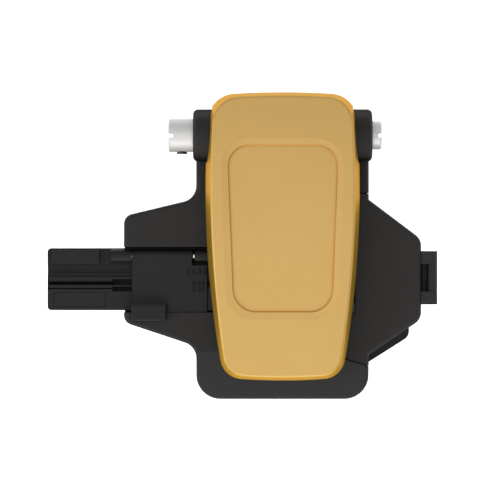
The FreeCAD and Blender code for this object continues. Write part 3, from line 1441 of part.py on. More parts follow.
def make_carriage_details():
    joined("guide_rods", "Compound", [
        rod("guide_rod_" + str(number), "Y", "rod_radius", "rod_front + rod_back", (x, "-rod_front", "rod_height"))
        for number, x in enumerate(("-rod_x", "rod_x"), 1)])
    screw_group("rod_block_screws", "plate_screw_length - screw_head_height - wall", [
        (x, y, "plate_under + screw_head_height") for x, y in rod_screw_spots], head_up=False)
    screw_group("plate_screws", "plate_screw_length", [
        (x, y, "plate_under + screw_head_height") for x, y in plate_screw_spots], head_up=False)


make_main_body()
make_bottom_plate()
make_rubber()
make_hinge_shaft()
make_cap("left_shaft_cap", -1, "left_cap_radius", "left_cap_length")
make_cap("right_shaft_cap", 1, "right_cap_radius", "right_cap_length")
make_set_screw()
make_holder_base()
make_holder_inlay()
make_holder_lid()
make_holder_pad()
make_holder_details()
make_collector_box()
make_collector_door()
make_collector_details()
make_roller_frame()
make_lid_cover()
make_lid_frame()
make_lid_details()
make_clamps()
make_anvil_arm()
make_anvil_pad()
make_carriage()
make_rod_block("front_rod_block", "-rod_front + rod_block_length")
make_rod_block("back_rod_block", "rod_back")
make_blade()
make_blade_hub()
make_blade_shaft()
make_carriage_details()
doc.recompute()

nodes = [
    "main_body", "bottom_plate", "rubber_base", "plate_screws", "hinge_shaft", "left_shaft_cap",
    "right_shaft_cap", "cap_set_screw", "latch_magnets", "lid_bumpers",
    "holder_base", "holder_inlay", "holder_pin", "holder_magnet", "holder_screws",
    "holder_lid", "holder_lid_pad", "holder_lid_magnet",
    "collector_box", "collector_screws", "door_pin", "collector_door",
    "roller_frame", "upper_roller", "upper_roller_shaft", "lower_roller", "lower_roller_shaft",
    "lid_cover", "lid_frame", "lid_screws", "lid_latch_plates", "drive_pin", "anvil_pin",
    "upper_clamp", "left_upper_pad", "right_upper_pad", "press_screws",
    "anvil_arm", "anvil_pad",
    "left_clamp", "right_clamp", "left_lower_pad", "right_lower_pad", "clamp_screws",
    "guide_rods", "front_rod_block", "back_rod_block", "rod_block_screws",
    "blade_carriage", "blade_shaft", "blade", "blade_hub",
]

failed = [item.Label for item in doc.Objects if "Invalid" in item.State or "Error" in item.State]
if failed:
    raise ValueError("these objects fail: " + ", ".join(failed))
shapes = {}
for node in nodes:
    shape = doc.getObjectsByLabel(node)[0].Shape
    if shape.isNull() or not shape.isValid() or not shape.Solids:
        raise ValueError(node + " has no valid shape")
    shapes[node] = shape
os.makedirs("parts", exist_ok=True)
for node, shape in shapes.items():
    shape.exportStep("parts/" + node + ".step")
    print(node, len(shape.Solids), round(shape.Volume, 1))
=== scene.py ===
import json
import math

import bmesh
import bpy
from mathutils import Matrix, Vector
from mathutils.bvhtree import BVHTree


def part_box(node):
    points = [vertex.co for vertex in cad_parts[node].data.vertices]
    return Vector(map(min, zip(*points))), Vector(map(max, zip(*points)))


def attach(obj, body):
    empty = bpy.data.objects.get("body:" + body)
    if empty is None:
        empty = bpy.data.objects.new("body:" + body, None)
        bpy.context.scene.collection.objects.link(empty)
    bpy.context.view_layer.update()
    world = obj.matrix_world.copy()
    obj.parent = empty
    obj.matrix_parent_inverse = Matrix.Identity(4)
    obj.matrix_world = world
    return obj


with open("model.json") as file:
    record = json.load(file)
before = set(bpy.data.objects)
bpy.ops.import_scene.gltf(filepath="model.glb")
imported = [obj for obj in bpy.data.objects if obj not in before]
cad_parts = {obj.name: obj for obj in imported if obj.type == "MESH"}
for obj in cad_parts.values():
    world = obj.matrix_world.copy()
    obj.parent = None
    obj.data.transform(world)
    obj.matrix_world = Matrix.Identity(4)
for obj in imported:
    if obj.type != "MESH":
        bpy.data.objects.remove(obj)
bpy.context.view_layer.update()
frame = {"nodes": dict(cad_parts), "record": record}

# sizes in the pieces' dictionaries are in millimetres, those in the finishes and the lamps in metres
mm = 0.001
weldGap = 0.0001 * mm
print("frame loaded, nodes:", len(frame["nodes"]))


# shared effects, each built once as a node group

def startGroup(name, inputs, outputs):
    group = bpy.data.node_groups.new(name, "ShaderNodeTree")
    for label, value in inputs.items():
        socket = group.interface.new_socket(label, in_out="INPUT", socket_type="NodeSocketFloat")
        socket.default_value = value
    for label in outputs:
        group.interface.new_socket(label, in_out="OUTPUT", socket_type="NodeSocketFloat")
    entry = group.nodes.new("NodeGroupInput")
    leave = group.nodes.new("NodeGroupOutput")
    return group, entry.outputs, leave.inputs


def feed(tree, socket, source):
    # another node's output is linked, a number or a colour is set
    if isinstance(source, bpy.types.NodeSocket):
        tree.links.new(source, socket)
    else:
        socket.default_value = source


def addNode(tree, kind, settings=None, values=None):
    node = tree.nodes.new(kind)
    for key, value in (settings or {}).items():
        setattr(node, key, value)
    for key, value in (values or {}).items():
        feed(tree, node.inputs[key], value)
    return node


def mathNode(tree, operation, *sources, clamp=False):
    node = addNode(tree, "ShaderNodeMath", {"operation": operation, "use_clamp": clamp}, dict(enumerate(sources)))
    return node.outputs[0]


def rampNode(tree, source, start, full):
    # 0 at the start value, 1 at the full one, eased between them
    node = addNode(tree, "ShaderNodeMapRange", {"interpolation_type": "SMOOTHSTEP"}, {
        "Value": source, "From Min": start, "From Max": full})
    return node.outputs["Result"]


def objectPoint(tree, stretch=(1.0, 1.0, 1.0)):
    point = addNode(tree, "ShaderNodeTexCoord")
    mapping = addNode(tree, "ShaderNodeMapping", values={"Vector": point.outputs["Object"], "Scale": stretch})
    return mapping.outputs["Vector"]


def noiseNode(tree, point, **values):
    # Scale, Detail, Roughness and Distortion by their names in lower case
    noise = addNode(tree, "ShaderNodeTexNoise", values={"Vector": point})
    for key, value in values.items():
        feed(tree, noise.inputs[key.capitalize()], value)
    return noise.outputs["Fac"]


def makeEdgeWear():
    # where the surface turns sharply within a short distance, broken up by noise; finishes use it for real rubbed
    # wear, lighter than the surface, and for painted shade, darker than it, on the black castings, cover and holder
    group, given, out = startGroup("edgeWearAndShade", {"Reach": 0.0003, "Break Up": 900.0, "Amount": 1.0}, ["Mask"])
    rounded = addNode(group, "ShaderNodeBevel", {"samples": 6}, {"Radius": given["Reach"]})
    facing = addNode(group, "ShaderNodeNewGeometry")
    turn = addNode(group, "ShaderNodeVectorMath", {"operation": "DOT_PRODUCT"}, {
        0: rounded.outputs["Normal"], 1: facing.outputs["Normal"]})
    edge = rampNode(group, turn.outputs["Value"], start=0.995, full=0.86)
    noise = noiseNode(group, objectPoint(group), scale=given["Break Up"], detail=5.0, roughness=0.65)
    patchy = rampNode(group, noise, start=0.44, full=0.62)
    mask = mathNode(group, "MULTIPLY", edge, patchy)
    feed(group, out["Mask"], mathNode(group, "MULTIPLY", mask, given["Amount"], clamp=True))
    return group


def makeGrain():
    # fine blasted or moulded grain: a height for Bump, and a tone from the finer part of it
    group, given, out = startGroup("surfaceGrain", {"Scale": 3500.0, "Coarse": 0.35}, ["Height", "Tone"])
    point = objectPoint(group)
    fine = noiseNode(group, point, scale=given["Scale"], detail=3.0, roughness=0.6)
    cellScale = mathNode(group, "MULTIPLY", given["Scale"], 0.6)
    cells = addNode(group, "ShaderNodeTexVoronoi", {"feature": "SMOOTH_F1"}, {
        "Vector": point, "Scale": cellScale, "Smoothness": 0.6})
    blend = addNode(group, "ShaderNodeMix", {"data_type": "FLOAT"}, {
        "Factor": given["Coarse"], "A": fine, "B": cells.outputs["Distance"]})
    feed(group, out["Height"], blend.outputs["Result"])
    feed(group, out["Tone"], rampNode(group, fine, start=0.3, full=0.7))
    return group


def makeDrift():
    # slow change of tone and gloss over a few centimetres, with faint smears
    group, given, out = startGroup("slowDrift", {"Scale": 45.0}, ["Tone", "Smear"])
    slow = noiseNode(group, objectPoint(group), scale=given["Scale"], detail=4.0, roughness=0.55)
    smearScale = mathNode(group, "MULTIPLY", given["Scale"], 4.0)
    smear = noiseNode(group, objectPoint(group, (1.0, 2.6, 1.7)), scale=smearScale, detail=6.0, roughness=0.7,
                      distortion=0.6)
    feed(group, out["Tone"], rampNode(group, slow, start=0.3, full=0.7))
    feed(group, out["Smear"], rampNode(group, smear, start=0.5, full=0.72))
    return group


def makeDust():
    # dust that gathers on faces that look up, thin and speckled
    group, given, out = startGroup("restingDust", {"Amount": 0.2}, ["Mask"])
    facing = addNode(group, "ShaderNodeNewGeometry")
    split = addNode(group, "ShaderNodeSeparateXYZ", values={"Vector": facing.outputs["Normal"]})
    up = rampNode(group, split.outputs["Z"], start=0.5, full=0.95)
    specks = noiseNode(group, objectPoint(group), scale=2600.0, detail=2.0, roughness=0.7)
    patches = noiseNode(group, objectPoint(group), scale=120.0, detail=3.0)
    spot = rampNode(group, specks, start=0.66, full=0.78)
    field = rampNode(group, patches, start=0.42, full=0.66)
    mask = mathNode(group, "MULTIPLY", mathNode(group, "MULTIPLY", spot, field), up)
    feed(group, out["Mask"], mathNode(group, "MULTIPLY", mask, given["Amount"], clamp=True))
    return group


def makeCrevice():
    # painted shade: the base colour is darkened where ambient occlusion finds nearby surfaces, in narrow inner
    # corners, creases and gaps
    group, given, out = startGroup("creviceShade", {
        "Reach": 0.0008, "Start": 0.92, "Full": 0.35, "Amount": 0.7}, ["Mask"])
    near = addNode(group, "ShaderNodeAmbientOcclusion", {"samples": 8}, {"Distance": given["Reach"]})
    deep = rampNode(group, near.outputs["AO"], given["Start"], given["Full"])
    feed(group, out["Mask"], mathNode(group, "MULTIPLY", deep, given["Amount"], clamp=True))
    return group


def makeSteepness():
    # steep walls against flat tops, measured in the piece's own frame; finishes paint these walls darker as painted
    # shade
    group, given, out = startGroup("steepWalls", {"Amount": 1.0}, ["Mask"])
    facing = addNode(group, "ShaderNodeTexCoord")
    split = addNode(group, "ShaderNodeSeparateXYZ", values={"Vector": facing.outputs["Normal"]})
    steep = rampNode(group, split.outputs["Z"], start=0.72, full=0.38)
    feed(group, out["Mask"], mathNode(group, "MULTIPLY", steep, given["Amount"], clamp=True))
    return group


edgeWearAndShade = makeEdgeWear()
steepWalls = makeSteepness()
creviceShade = makeCrevice()
surfaceGrain = makeGrain()
slowDrift = makeDrift()
restingDust = makeDust()
print("shared effects ready")


# finishes, one dictionary each; colours are linear, and what a finish leaves out comes from plainLook

plainLook = {
    "metallic": 0.0, "specular": 0.5, "tint": (1.0, 1.0, 1.0), "sheen": 0.0, "coarse": 0.35, "driftScale": 45.0,
    "smear": 0.06, "wallShadeColour": None, "wallAmount": 1.0, "brushed": None, "brushRough": 0.08, "ribs": None,
    "ribGrain": 0.3, "wearAndShade": 0.0, "wearAndShadeReach": 0.0003, "wearAndShadeBreak": 900.0, "wearAndShadeRough": -0.12, "dust": 0.0,
    "dustColour": (0.32, 0.31, 0.29), "dustRough": 0.3, "crevice": 0.0, "creviceReach": 0.0008,
    "creviceStart": 0.92, "creviceFull": 0.35, "creviceShadeColour": (0.002, 0.0019, 0.0018)}


def makeFinish(name, ownLook):
    look = {**plainLook, **ownLook}
    material = bpy.data.materials.new(name)
    material.use_nodes = True
    tree = material.node_tree
    shader = tree.nodes["Principled BSDF"].inputs
    shader["Metallic"].default_value = look["metallic"]
    shader["Specular IOR Level"].default_value = look["specular"]
    shader["Specular Tint"].default_value = look["tint"] + (1.0,)
    shader["Sheen Weight"].default_value = look["sheen"]

    def place(group, values):
        return addNode(tree, "ShaderNodeGroup", {"node_tree": group}, values).outputs

    def mixColour(factor, first, second):
        node = addNode(tree, "ShaderNodeMix", {"data_type": "RGBA"})
        sockets = {socket.name: socket for socket in node.inputs if socket.enabled}
        for key, source in (("Factor", factor), ("A", first), ("B", second)):
            feed(tree, sockets[key], source + (1.0,) if isinstance(source, tuple) else source)
        return [socket for socket in node.outputs if socket.enabled][0]

    def roughen(rough, mask, amount):
        return mathNode(tree, "ADD", rough, mathNode(tree, "MULTIPLY", mask, amount), clamp=True)

    grain = place(surfaceGrain, {"Scale": look["grainScale"], "Coarse": look["coarse"]})
    drift = place(slowDrift, {"Scale": look["driftScale"]})
    colour = mixColour(drift["Tone"], look["colour"], look["colourFar"])
    # painted shade: steep walls are painted in a darker wall colour, with their own metallic
    if look["wallShadeColour"]:
        walls = place(steepWalls, {"Amount": look["wallAmount"]})
        colour = mixColour(walls["Mask"], colour, look["wallShadeColour"])
        metalGain = look["wallMetallic"] - look["metallic"]
        feed(tree, shader["Metallic"], mathNode(tree, "MULTIPLY_ADD", walls["Mask"], metalGain, look["metallic"]))
    colour = mixColour(mathNode(tree, "MULTIPLY", grain["Tone"], look["grainTone"]), colour, look["grainColour"])
    rough = mathNode(tree, "MULTIPLY_ADD", drift["Smear"], look["smear"], look["roughness"])
    if look["brushed"]:
        streaks = noiseNode(tree, objectPoint(tree, look["brushed"]), scale=look["brushScale"], detail=4.0)
        streaks = rampNode(tree, streaks, start=0.3, full=0.7)
        colour = mixColour(mathNode(tree, "MULTIPLY", streaks, look["brushDepth"]), colour, look["grainColour"])
        rough = roughen(rough, streaks, look["brushRough"])
    # real wear where the edge colour is lighter than the surface, painted shade along the edges where it is darker
    # (castBlack, holderBlack, coverBlack)
    if look["wearAndShade"] > 0.0:
        wearAndShade = place(edgeWearAndShade, {"Reach": look["wearAndShadeReach"], "Break Up": look["wearAndShadeBreak"], "Amount": look["wearAndShade"]})
        colour = mixColour(wearAndShade["Mask"], colour, look["wearAndShadeColour"])
        rough = roughen(rough, wearAndShade["Mask"], look["wearAndShadeRough"])
    if look["dust"] > 0.0:
        dust = place(restingDust, {"Amount": look["dust"]})
        colour = mixColour(dust["Mask"], colour, look["dustColour"])
        rough = roughen(rough, dust["Mask"], look["dustRough"])
    # painted shade: creases and gaps take the crevice colour, darker than the surface
    if look["crevice"] > 0.0:
        crevice = place(creviceShade, {"Reach": look["creviceReach"], "Start": look["creviceStart"],
                                       "Full": look["creviceFull"], "Amount": look["crevice"]})
        colour = mixColour(crevice["Mask"], colour, look["creviceShadeColour"])
    height = grain["Height"]
    if look["ribs"]:
        ribs = addNode(tree, "ShaderNodeTexWave", {"wave_profile": "SIN"}, {
            "Vector": objectPoint(tree), "Scale": look["ribs"]})
        height = mathNode(tree, "ADD", mathNode(tree, "MULTIPLY", height, look["ribGrain"]), ribs.outputs["Fac"])
    bump = addNode(tree, "ShaderNodeBump", values={
        "Height": height, "Strength": look["bump"], "Distance": look["bumpDepth"]})
    for key, source in (("Base Color", colour), ("Roughness", rough), ("Normal", bump.outputs["Normal"])):
        feed(tree, shader[key], source)
    return material


# painted shade: the crevice amounts and colours below darken creases and gaps; the orange-brown one on satinGold
# paints the crease line of the lid's sunk panel
finishes = {
    "castBlack": {
        "colour": (0.0184, 0.0175, 0.0172), "colourFar": (0.0206, 0.0196, 0.0192), "roughness": 0.52, "smear": 0.05,
        # painted shade: the walls are painted darker than the tops
        "specular": 0.30, "tint": (0.4, 0.4, 0.4), "wallMetallic": 0.75, "wallShadeColour": (0.017, 0.016, 0.0155),
        "grainScale": 3200.0, "grainTone": 0.3, "grainColour": (0.033, 0.0315, 0.031), "coarse": 0.5, "bump": 0.3,
        # painted shade: the edges are painted darker than the surface
        "bumpDepth": 0.00005, "wearAndShade": 0.5, "wearAndShadeColour": (0.0045, 0.0042, 0.0040), "wearAndShadeBreak": 300.0,
        "wearAndShadeReach": 0.00035, "dust": 0.08, "crevice": 0.8},
    "plateBlack": {
        "colour": (0.016, 0.016, 0.0165), "colourFar": (0.020, 0.020, 0.020), "roughness": 0.42, "smear": 0.08,
        "grainScale": 2400.0, "grainTone": 0.3, "grainColour": (0.03, 0.03, 0.03), "bump": 0.25,
        "bumpDepth": 0.00004, "wearAndShade": 0.6, "wearAndShadeColour": (0.22, 0.22, 0.22)},
    "footRubber": {
        "colour": (0.010, 0.010, 0.010), "colourFar": (0.016, 0.0155, 0.015), "roughness": 0.82, "smear": 0.05,
        "grainScale": 1800.0, "grainTone": 0.35, "grainColour": (0.028, 0.027, 0.026), "coarse": 0.8,
        "bump": 0.6, "bumpDepth": 0.00015, "sheen": 0.1, "ribs": 260.0},
    "groundSteel": {
        "colour": (0.56, 0.56, 0.555), "colourFar": (0.50, 0.50, 0.50), "roughness": 0.24, "metallic": 1.0,
        "grainScale": 2600.0, "grainTone": 0.1, "grainColour": (0.38, 0.38, 0.39), "bump": 0.1,
        "bumpDepth": 0.00001, "brushed": (30.0, 1.0, 1.0), "brushScale": 260.0, "brushDepth": 0.3},
    "satinNickel": {
        "colour": (0.61, 0.605, 0.60), "colourFar": (0.575, 0.57, 0.565), "roughness": 0.45, "metallic": 0.35,
        "grainScale": 2800.0, "grainTone": 0.12, "grainColour": (0.60, 0.595, 0.585), "bump": 0.2,
        "bumpDepth": 0.00002, "wearAndShade": 0.25, "wearAndShadeColour": (0.8, 0.8, 0.78)},
    "blackOxide": {
        "colour": (0.028, 0.028, 0.03), "colourFar": (0.04, 0.039, 0.04), "roughness": 0.34, "metallic": 0.7,
        "grainScale": 3000.0, "grainTone": 0.2, "grainColour": (0.06, 0.058, 0.056), "bump": 0.2,
        "bumpDepth": 0.00002, "wearAndShade": 0.8, "wearAndShadeColour": (0.24, 0.235, 0.23), "wearAndShadeReach": 0.00015},
    "nickelMagnet": {
        "colour": (0.60, 0.59, 0.57), "colourFar": (0.54, 0.53, 0.51), "roughness": 0.2, "metallic": 1.0,
        "grainScale": 1800.0, "grainTone": 0.1, "grainColour": (0.4, 0.39, 0.38), "bump": 0.1,
        "bumpDepth": 0.00001},
    "padRubber": {
        "colour": (0.013, 0.013, 0.013), "colourFar": (0.019, 0.019, 0.0185), "roughness": 0.68, "smear": 0.06,
        "grainScale": 3600.0, "grainTone": 0.2, "grainColour": (0.03, 0.03, 0.029), "bump": 0.25,
        "bumpDepth": 0.00003, "sheen": 0.08},
    "holderBlack": {
        "colour": (0.0056, 0.0053, 0.0051), "colourFar": (0.0072, 0.0068, 0.0065), "roughness": 0.5, "smear": 0.05,
        "specular": 0.22, "grainScale": 3600.0, "grainTone": 0.25, "grainColour": (0.017, 0.0163, 0.016),
        # painted shade: the edges are painted darker than the surface
        "bump": 0.2, "bumpDepth": 0.00003, "wearAndShade": 0.5, "wearAndShadeColour": (0.0035, 0.0033, 0.0032), "wearAndShadeReach": 0.0002,
        "dust": 0.06, "crevice": 0.85},
    "inlayGrey": {
        "colour": (0.0058, 0.0054, 0.0052), "colourFar": (0.0074, 0.0069, 0.0066), "roughness": 0.5, "smear": 0.04,
        "specular": 0.23, "grainScale": 4200.0, "grainTone": 0.2, "grainColour": (0.015, 0.0145, 0.0142),
        "bump": 0.2, "bumpDepth": 0.00003, "crevice": 0.85},
    "satinGold": {
        "colour": (0.515, 0.330, 0.112), "colourFar": (0.500, 0.318, 0.106), "roughness": 0.43, "smear": 0.035,
        "metallic": 0.55, "specular": 0.12, "tint": (0.98, 0.57, 0.05), "wallMetallic": 0.72,
        # painted shade: the lid's steep walls are painted a darker, deeper gold
        "wallShadeColour": (0.45, 0.268, 0.028), "grainScale": 5200.0, "grainTone": 0.2,
        "grainColour": (0.565, 0.372, 0.14), "bump": 0.12, "bumpDepth": 0.00003, "wearAndShade": 0.1,
        "wearAndShadeColour": (0.58, 0.39, 0.15), "dust": 0.03, "crevice": 0.6, "creviceStart": 0.985,
        "creviceFull": 0.86, "creviceShadeColour": (0.50, 0.23, 0.05)},
    "frameBlack": {
        "colour": (0.014, 0.014, 0.014), "colourFar": (0.019, 0.0185, 0.018), "roughness": 0.5, "smear": 0.06,
        "grainScale": 2600.0, "grainTone": 0.25, "grainColour": (0.028, 0.027, 0.027), "coarse": 0.5,
        "bump": 0.3, "bumpDepth": 0.00005, "wearAndShade": 0.2, "wearAndShadeColour": (0.06, 0.06, 0.06), "crevice": 0.8},
    "coverBlack": {
        "colour": (0.0243, 0.0229, 0.0224), "colourFar": (0.0270, 0.0254, 0.0248), "roughness": 0.54, "smear": 0.05,
        # painted shade: the walls are painted darker than the tops
        "specular": 0.25, "tint": (0.4, 0.4, 0.4), "wallMetallic": 0.75, "wallShadeColour": (0.017, 0.016, 0.0155),
        "grainScale": 2800.0, "grainTone": 0.3, "grainColour": (0.036, 0.0342, 0.033), "coarse": 0.6, "bump": 0.3,
        # painted shade: the edges are painted darker than the surface
        "bumpDepth": 0.00005, "wearAndShade": 0.5, "wearAndShadeColour": (0.0045, 0.0042, 0.0040), "wearAndShadeReach": 0.0008,
        "dust": 0.07, "crevice": 0.8},
    "machinedAlloy": {
        "colour": (0.52, 0.525, 0.53), "colourFar": (0.46, 0.465, 0.47), "roughness": 0.34, "metallic": 1.0,
        "grainScale": 2200.0, "grainTone": 0.12, "grainColour": (0.36, 0.365, 0.37), "bump": 0.15,
        "bumpDepth": 0.00002, "brushed": (1.0, 36.0, 36.0), "brushScale": 90.0, "brushDepth": 0.35,
        "wearAndShade": 0.3, "wearAndShadeColour": (0.7, 0.7, 0.7)},
    "bladeSteel": {
        "colour": (0.50, 0.505, 0.52), "colourFar": (0.44, 0.445, 0.46), "roughness": 0.2, "metallic": 1.0,
        "grainScale": 4200.0, "grainTone": 0.12, "grainColour": (0.34, 0.345, 0.36), "bump": 0.08,
        "bumpDepth": 0.00001},
}
materials = {name: makeFinish(name, look) for name, look in finishes.items()}

slotFinishes = {
    "anodised_black": "castBlack", "plate_black": "plateBlack", "rubber_foot": "footRubber",
    "steel": "groundSteel", "bright_steel": "satinNickel", "dark_screw": "blackOxide",
    "magnet": "nickelMagnet", "rubber_black": "padRubber", "holder_black": "holderBlack",
    "inlay_grey": "inlayGrey", "gold": "satinGold", "frame_black": "frameBlack",
    "cover_black": "coverBlack", "clamp_metal": "machinedAlloy", "blade_steel": "bladeSteel",
    "carriage_metal": "machinedAlloy",
}
slotOfNode = {entry["node"]: entry["material_slot"] for entry in frame["record"]["subparts"]}
for nodeName, nodeObject in frame["nodes"].items():
    nodeObject.data.materials.clear()
    nodeObject.data.materials.append(materials[slotFinishes[slotOfNode[nodeName]]])
print("finishes placed on the nodes:", len(materials))


# helpers for the scene's own pieces

def finishPiece(name, mesh, material, body, smooth=True):
    piece = bpy.data.objects.new(name, mesh)
    bpy.context.scene.collection.objects.link(piece)
    mesh.materials.clear()
    mesh.materials.append(materials[material])
    for face in mesh.polygons:
        face.use_smooth = smooth
    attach(piece, body)
    return piece


def pieceFromBmesh(name, form, material, body, smooth=True):
    mesh = bpy.data.meshes.new(name)
    form.to_mesh(mesh)
    form.free()
    return finishPiece(name, mesh, material, body, smooth)


def middleOf(box):
    return (box[0] + box[1]) / 2


# fibre sizes on the small lid, whose top lies abovePad over the underside of its rubber pad

markFinish = {
    "colour": (0.0052, 0.0050, 0.0049), "colourFar": (0.0058, 0.0056, 0.0055), "roughness": 0.8,
    "specular": 0.10, "grainScale": 4000.0, "grainTone": 0.1, "grainColour": (0.006, 0.006, 0.006), "bump": 0.1,
    "bumpDepth": 0.00001}
materials["darkMark"] = makeFinish("darkMark", markFinish)
markLook = {"depth": 0.04, "swell": 0.02, "curveSteps": 3, "abovePad": 3.2}
fibreMarks = {
    "markCable": {"text": "2.0-3.0", "size": 2.3, "x": -26.35, "y": 3.38, "width": 0.86, "spacing": 1.12},
    "markBuffered": {"text": "0.90", "size": 2.0, "x": -25.75, "y": -0.25, "width": 1.0, "spacing": 1.15},
    "markBare": {"text": "0.25", "size": 1.75, "x": -25.75, "y": -1.96, "width": 1.12, "spacing": 1.15},
}


def markMesh(mark):
    # a line of figures as a thin solid, flat on XY and centred
    curve = bpy.data.curves.new("marks", "FONT")
    curve.body = mark["text"]
    curve.size = mark["size"] * mm
    curve.space_character = mark["spacing"]
    curve.offset = markLook["swell"] * mark["size"] * mm
    curve.extrude = markLook["depth"] / 2 * mm
    curve.align_x = "CENTER"
    curve.align_y = "CENTER"
    curve.resolution_u = markLook["curveSteps"]
    holder = bpy.data.objects.new("marks", curve)
    bpy.context.scene.collection.objects.link(holder)
    bpy.context.view_layer.update()
    mesh = bpy.data.meshes.new_from_object(holder)
    bpy.data.objects.remove(holder)
    return mesh


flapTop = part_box("holder_lid_pad")[0].z + markLook["abovePad"] * mm
for markName, mark in fibreMarks.items():
    figures = markMesh(mark)
    figures.transform(Matrix.Translation((mark["x"] * mm, mark["y"] * mm, flapTop))
                      @ Matrix.Diagonal((mark["width"], 1, 1, 1)))
    finishPiece(markName, figures, "darkMark", "holder_flap", False)
print("figures on the small lid placed")


# turned and moulded pieces: washers in the door's hinge, spacer on the small lid's pin, rounded lifting tab

def ringForm(look):
    # a ring along X: its section is spun once round the axis
    form = bmesh.new()
    half, inner, outer, rounding = look["length"] / 2, look["inner"], look["outer"], look["rounding"]
    section = [(-half, inner), (-half, outer - rounding), (-half + rounding, outer), (half - rounding, outer),
               (half, outer - rounding), (half, inner)]
    corners = [form.verts.new((x * mm, r * mm, 0.0)) for x, r in section]
    edges = [form.edges.new((corners[i], corners[(i + 1) % len(corners)])) for i in range(len(corners))]
    bmesh.ops.spin(form, geom=corners + edges, cent=(0.0, 0.0, 0.0), axis=(1.0, 0.0, 0.0), steps=look["segments"],
                   angle=2 * math.pi, use_merge=True, use_duplicate=False)
    bmesh.ops.remove_doubles(form, verts=form.verts, dist=weldGap)
    bmesh.ops.recalc_face_normals(form, faces=form.faces)
    return form


washerLook = {"inner": 0.72, "outer": 1.5, "length": 0.2, "rounding": 0.03, "segments": 48, "middle": 1.6,
              "reach": 4.16}
doorPin = middleOf(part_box("door_pin"))
for washerName, side in (("backWasher", 1.0), ("frontWasher", -1.0)):
    washer = ringForm(washerLook)
    alongY = (washerLook["middle"] + side * washerLook["reach"]) * mm
    bmesh.ops.transform(washer, verts=washer.verts, matrix=Matrix.Translation((doorPin.x, alongY, doorPin.z))
                        @ Matrix.Rotation(math.pi / 2, 4, "Z"))
    pieceFromBmesh(washerName, washer, "coverBlack", "bin_door")

spacerLook = {"inner": 0.96, "outer": 1.2, "length": 0.46, "rounding": 0.05, "segments": 48, "along": -27.66}
lidPin = middleOf(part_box("holder_pin"))
spacer = ringForm(spacerLook)
bmesh.ops.translate(spacer, verts=spacer.verts, vec=(spacerLook["along"] * mm, lidPin.y, lidPin.z))
pieceFromBmesh("pinSpacer", spacer, "padRubber", "base")

# the side is in Y and Z; rounded are the edges above one height, those at the right end that reach over it,
# and those in front of one depth
tabLook = {"left": -46.3, "right": -35.6, "round": 0.5, "segments": 4, "roundAbove": 33.6, "roundBefore": -11.0,
           "side": [(-3.6, 32.55), (-6.5, 33.2), (-6.6, 35.35), (-11.55, 35.35), (-11.55, 33.25), (-9.1, 33.25),
                    (-9.1, 32.5), (-3.6, 32.5)]}


def tabForm(look):
    form = bmesh.new()
    face = form.faces.new([form.verts.new((look["left"] * mm, y * mm, z * mm)) for y, z in look["side"]])
    pushed = bmesh.ops.extrude_face_region(form, geom=[face])
    moved = [item for item in pushed["geom"] if isinstance(item, bmesh.types.BMVert)]
    bmesh.ops.translate(form, verts=moved, vec=((look["right"] - look["left"]) * mm, 0.0, 0.0))
    bmesh.ops.recalc_face_normals(form, faces=form.faces)
    halfway = (look["left"] + look["right"]) / 2 * mm

    def isSharp(edge):
        ends = [corner.co for corner in edge.verts]
        high = [end.z > look["roundAbove"] * mm for end in ends]
        atRight = all(end.x > halfway for end in ends)
        return all(high) or (atRight and any(high)) or all(end.y < look["roundBefore"] * mm for end in ends)

    bmesh.ops.bevel(form, geom=[edge for edge in form.edges if isSharp(edge)], offset=look["round"] * mm,
                    offset_type="OFFSET", affect="EDGES", segments=look["segments"], profile=0.5, material=-1)
    return form


pieceFromBmesh("tabCap", tabForm(tabLook), "holderBlack", "holder_flap", False)
print("small moulded pieces placed")


# soft slope that fills the step round the lid's sunk panel; a probe tells how far past its edge a loop
# takes its height from the lid, and rise how far above that it lies

borderLook = {"frontHalf": 15.0, "front": -8.8, "backHalf": 17.0, "back": 42.2, "segments": 14, "cuts": 12,
              "longEdge": 5.0, "thick": 0.6, "above": 1.0, "sharpFrom": 35.0,
              "outer": {"spread": 2.1, "corner": 6.3, "probe": 0.1, "rise": -0.01},
              "inner": {"spread": 0.03, "corner": 6.8, "probe": 0.6, "rise": 0.27}}


def outlineCorners(look, spread, corner):
    form = bmesh.new()
    frontHalf, backHalf = look["frontHalf"] + spread, look["backHalf"] + spread
    front, back = look["front"] - spread, look["back"] + spread
    places = [(-frontHalf, front), (frontHalf, front), (backHalf, back), (-backHalf, back)]
    form.faces.new([form.verts.new((x * mm, y * mm, 0.0)) for x, y in places])
    bmesh.ops.bevel(form, geom=form.verts[:], offset=(corner + spread) * mm, offset_type="OFFSET",
                    affect="VERTICES", segments=look["segments"], profile=0.5, material=-1)
    straight = [edge for edge in form.edges if edge.calc_length() > look["longEdge"] * mm]
    bmesh.ops.subdivide_edges(form, edges=straight, cuts=look["cuts"])
    places = [turn.vert.co.copy() for turn in form.faces[:][0].loops]
    form.free()
    return places


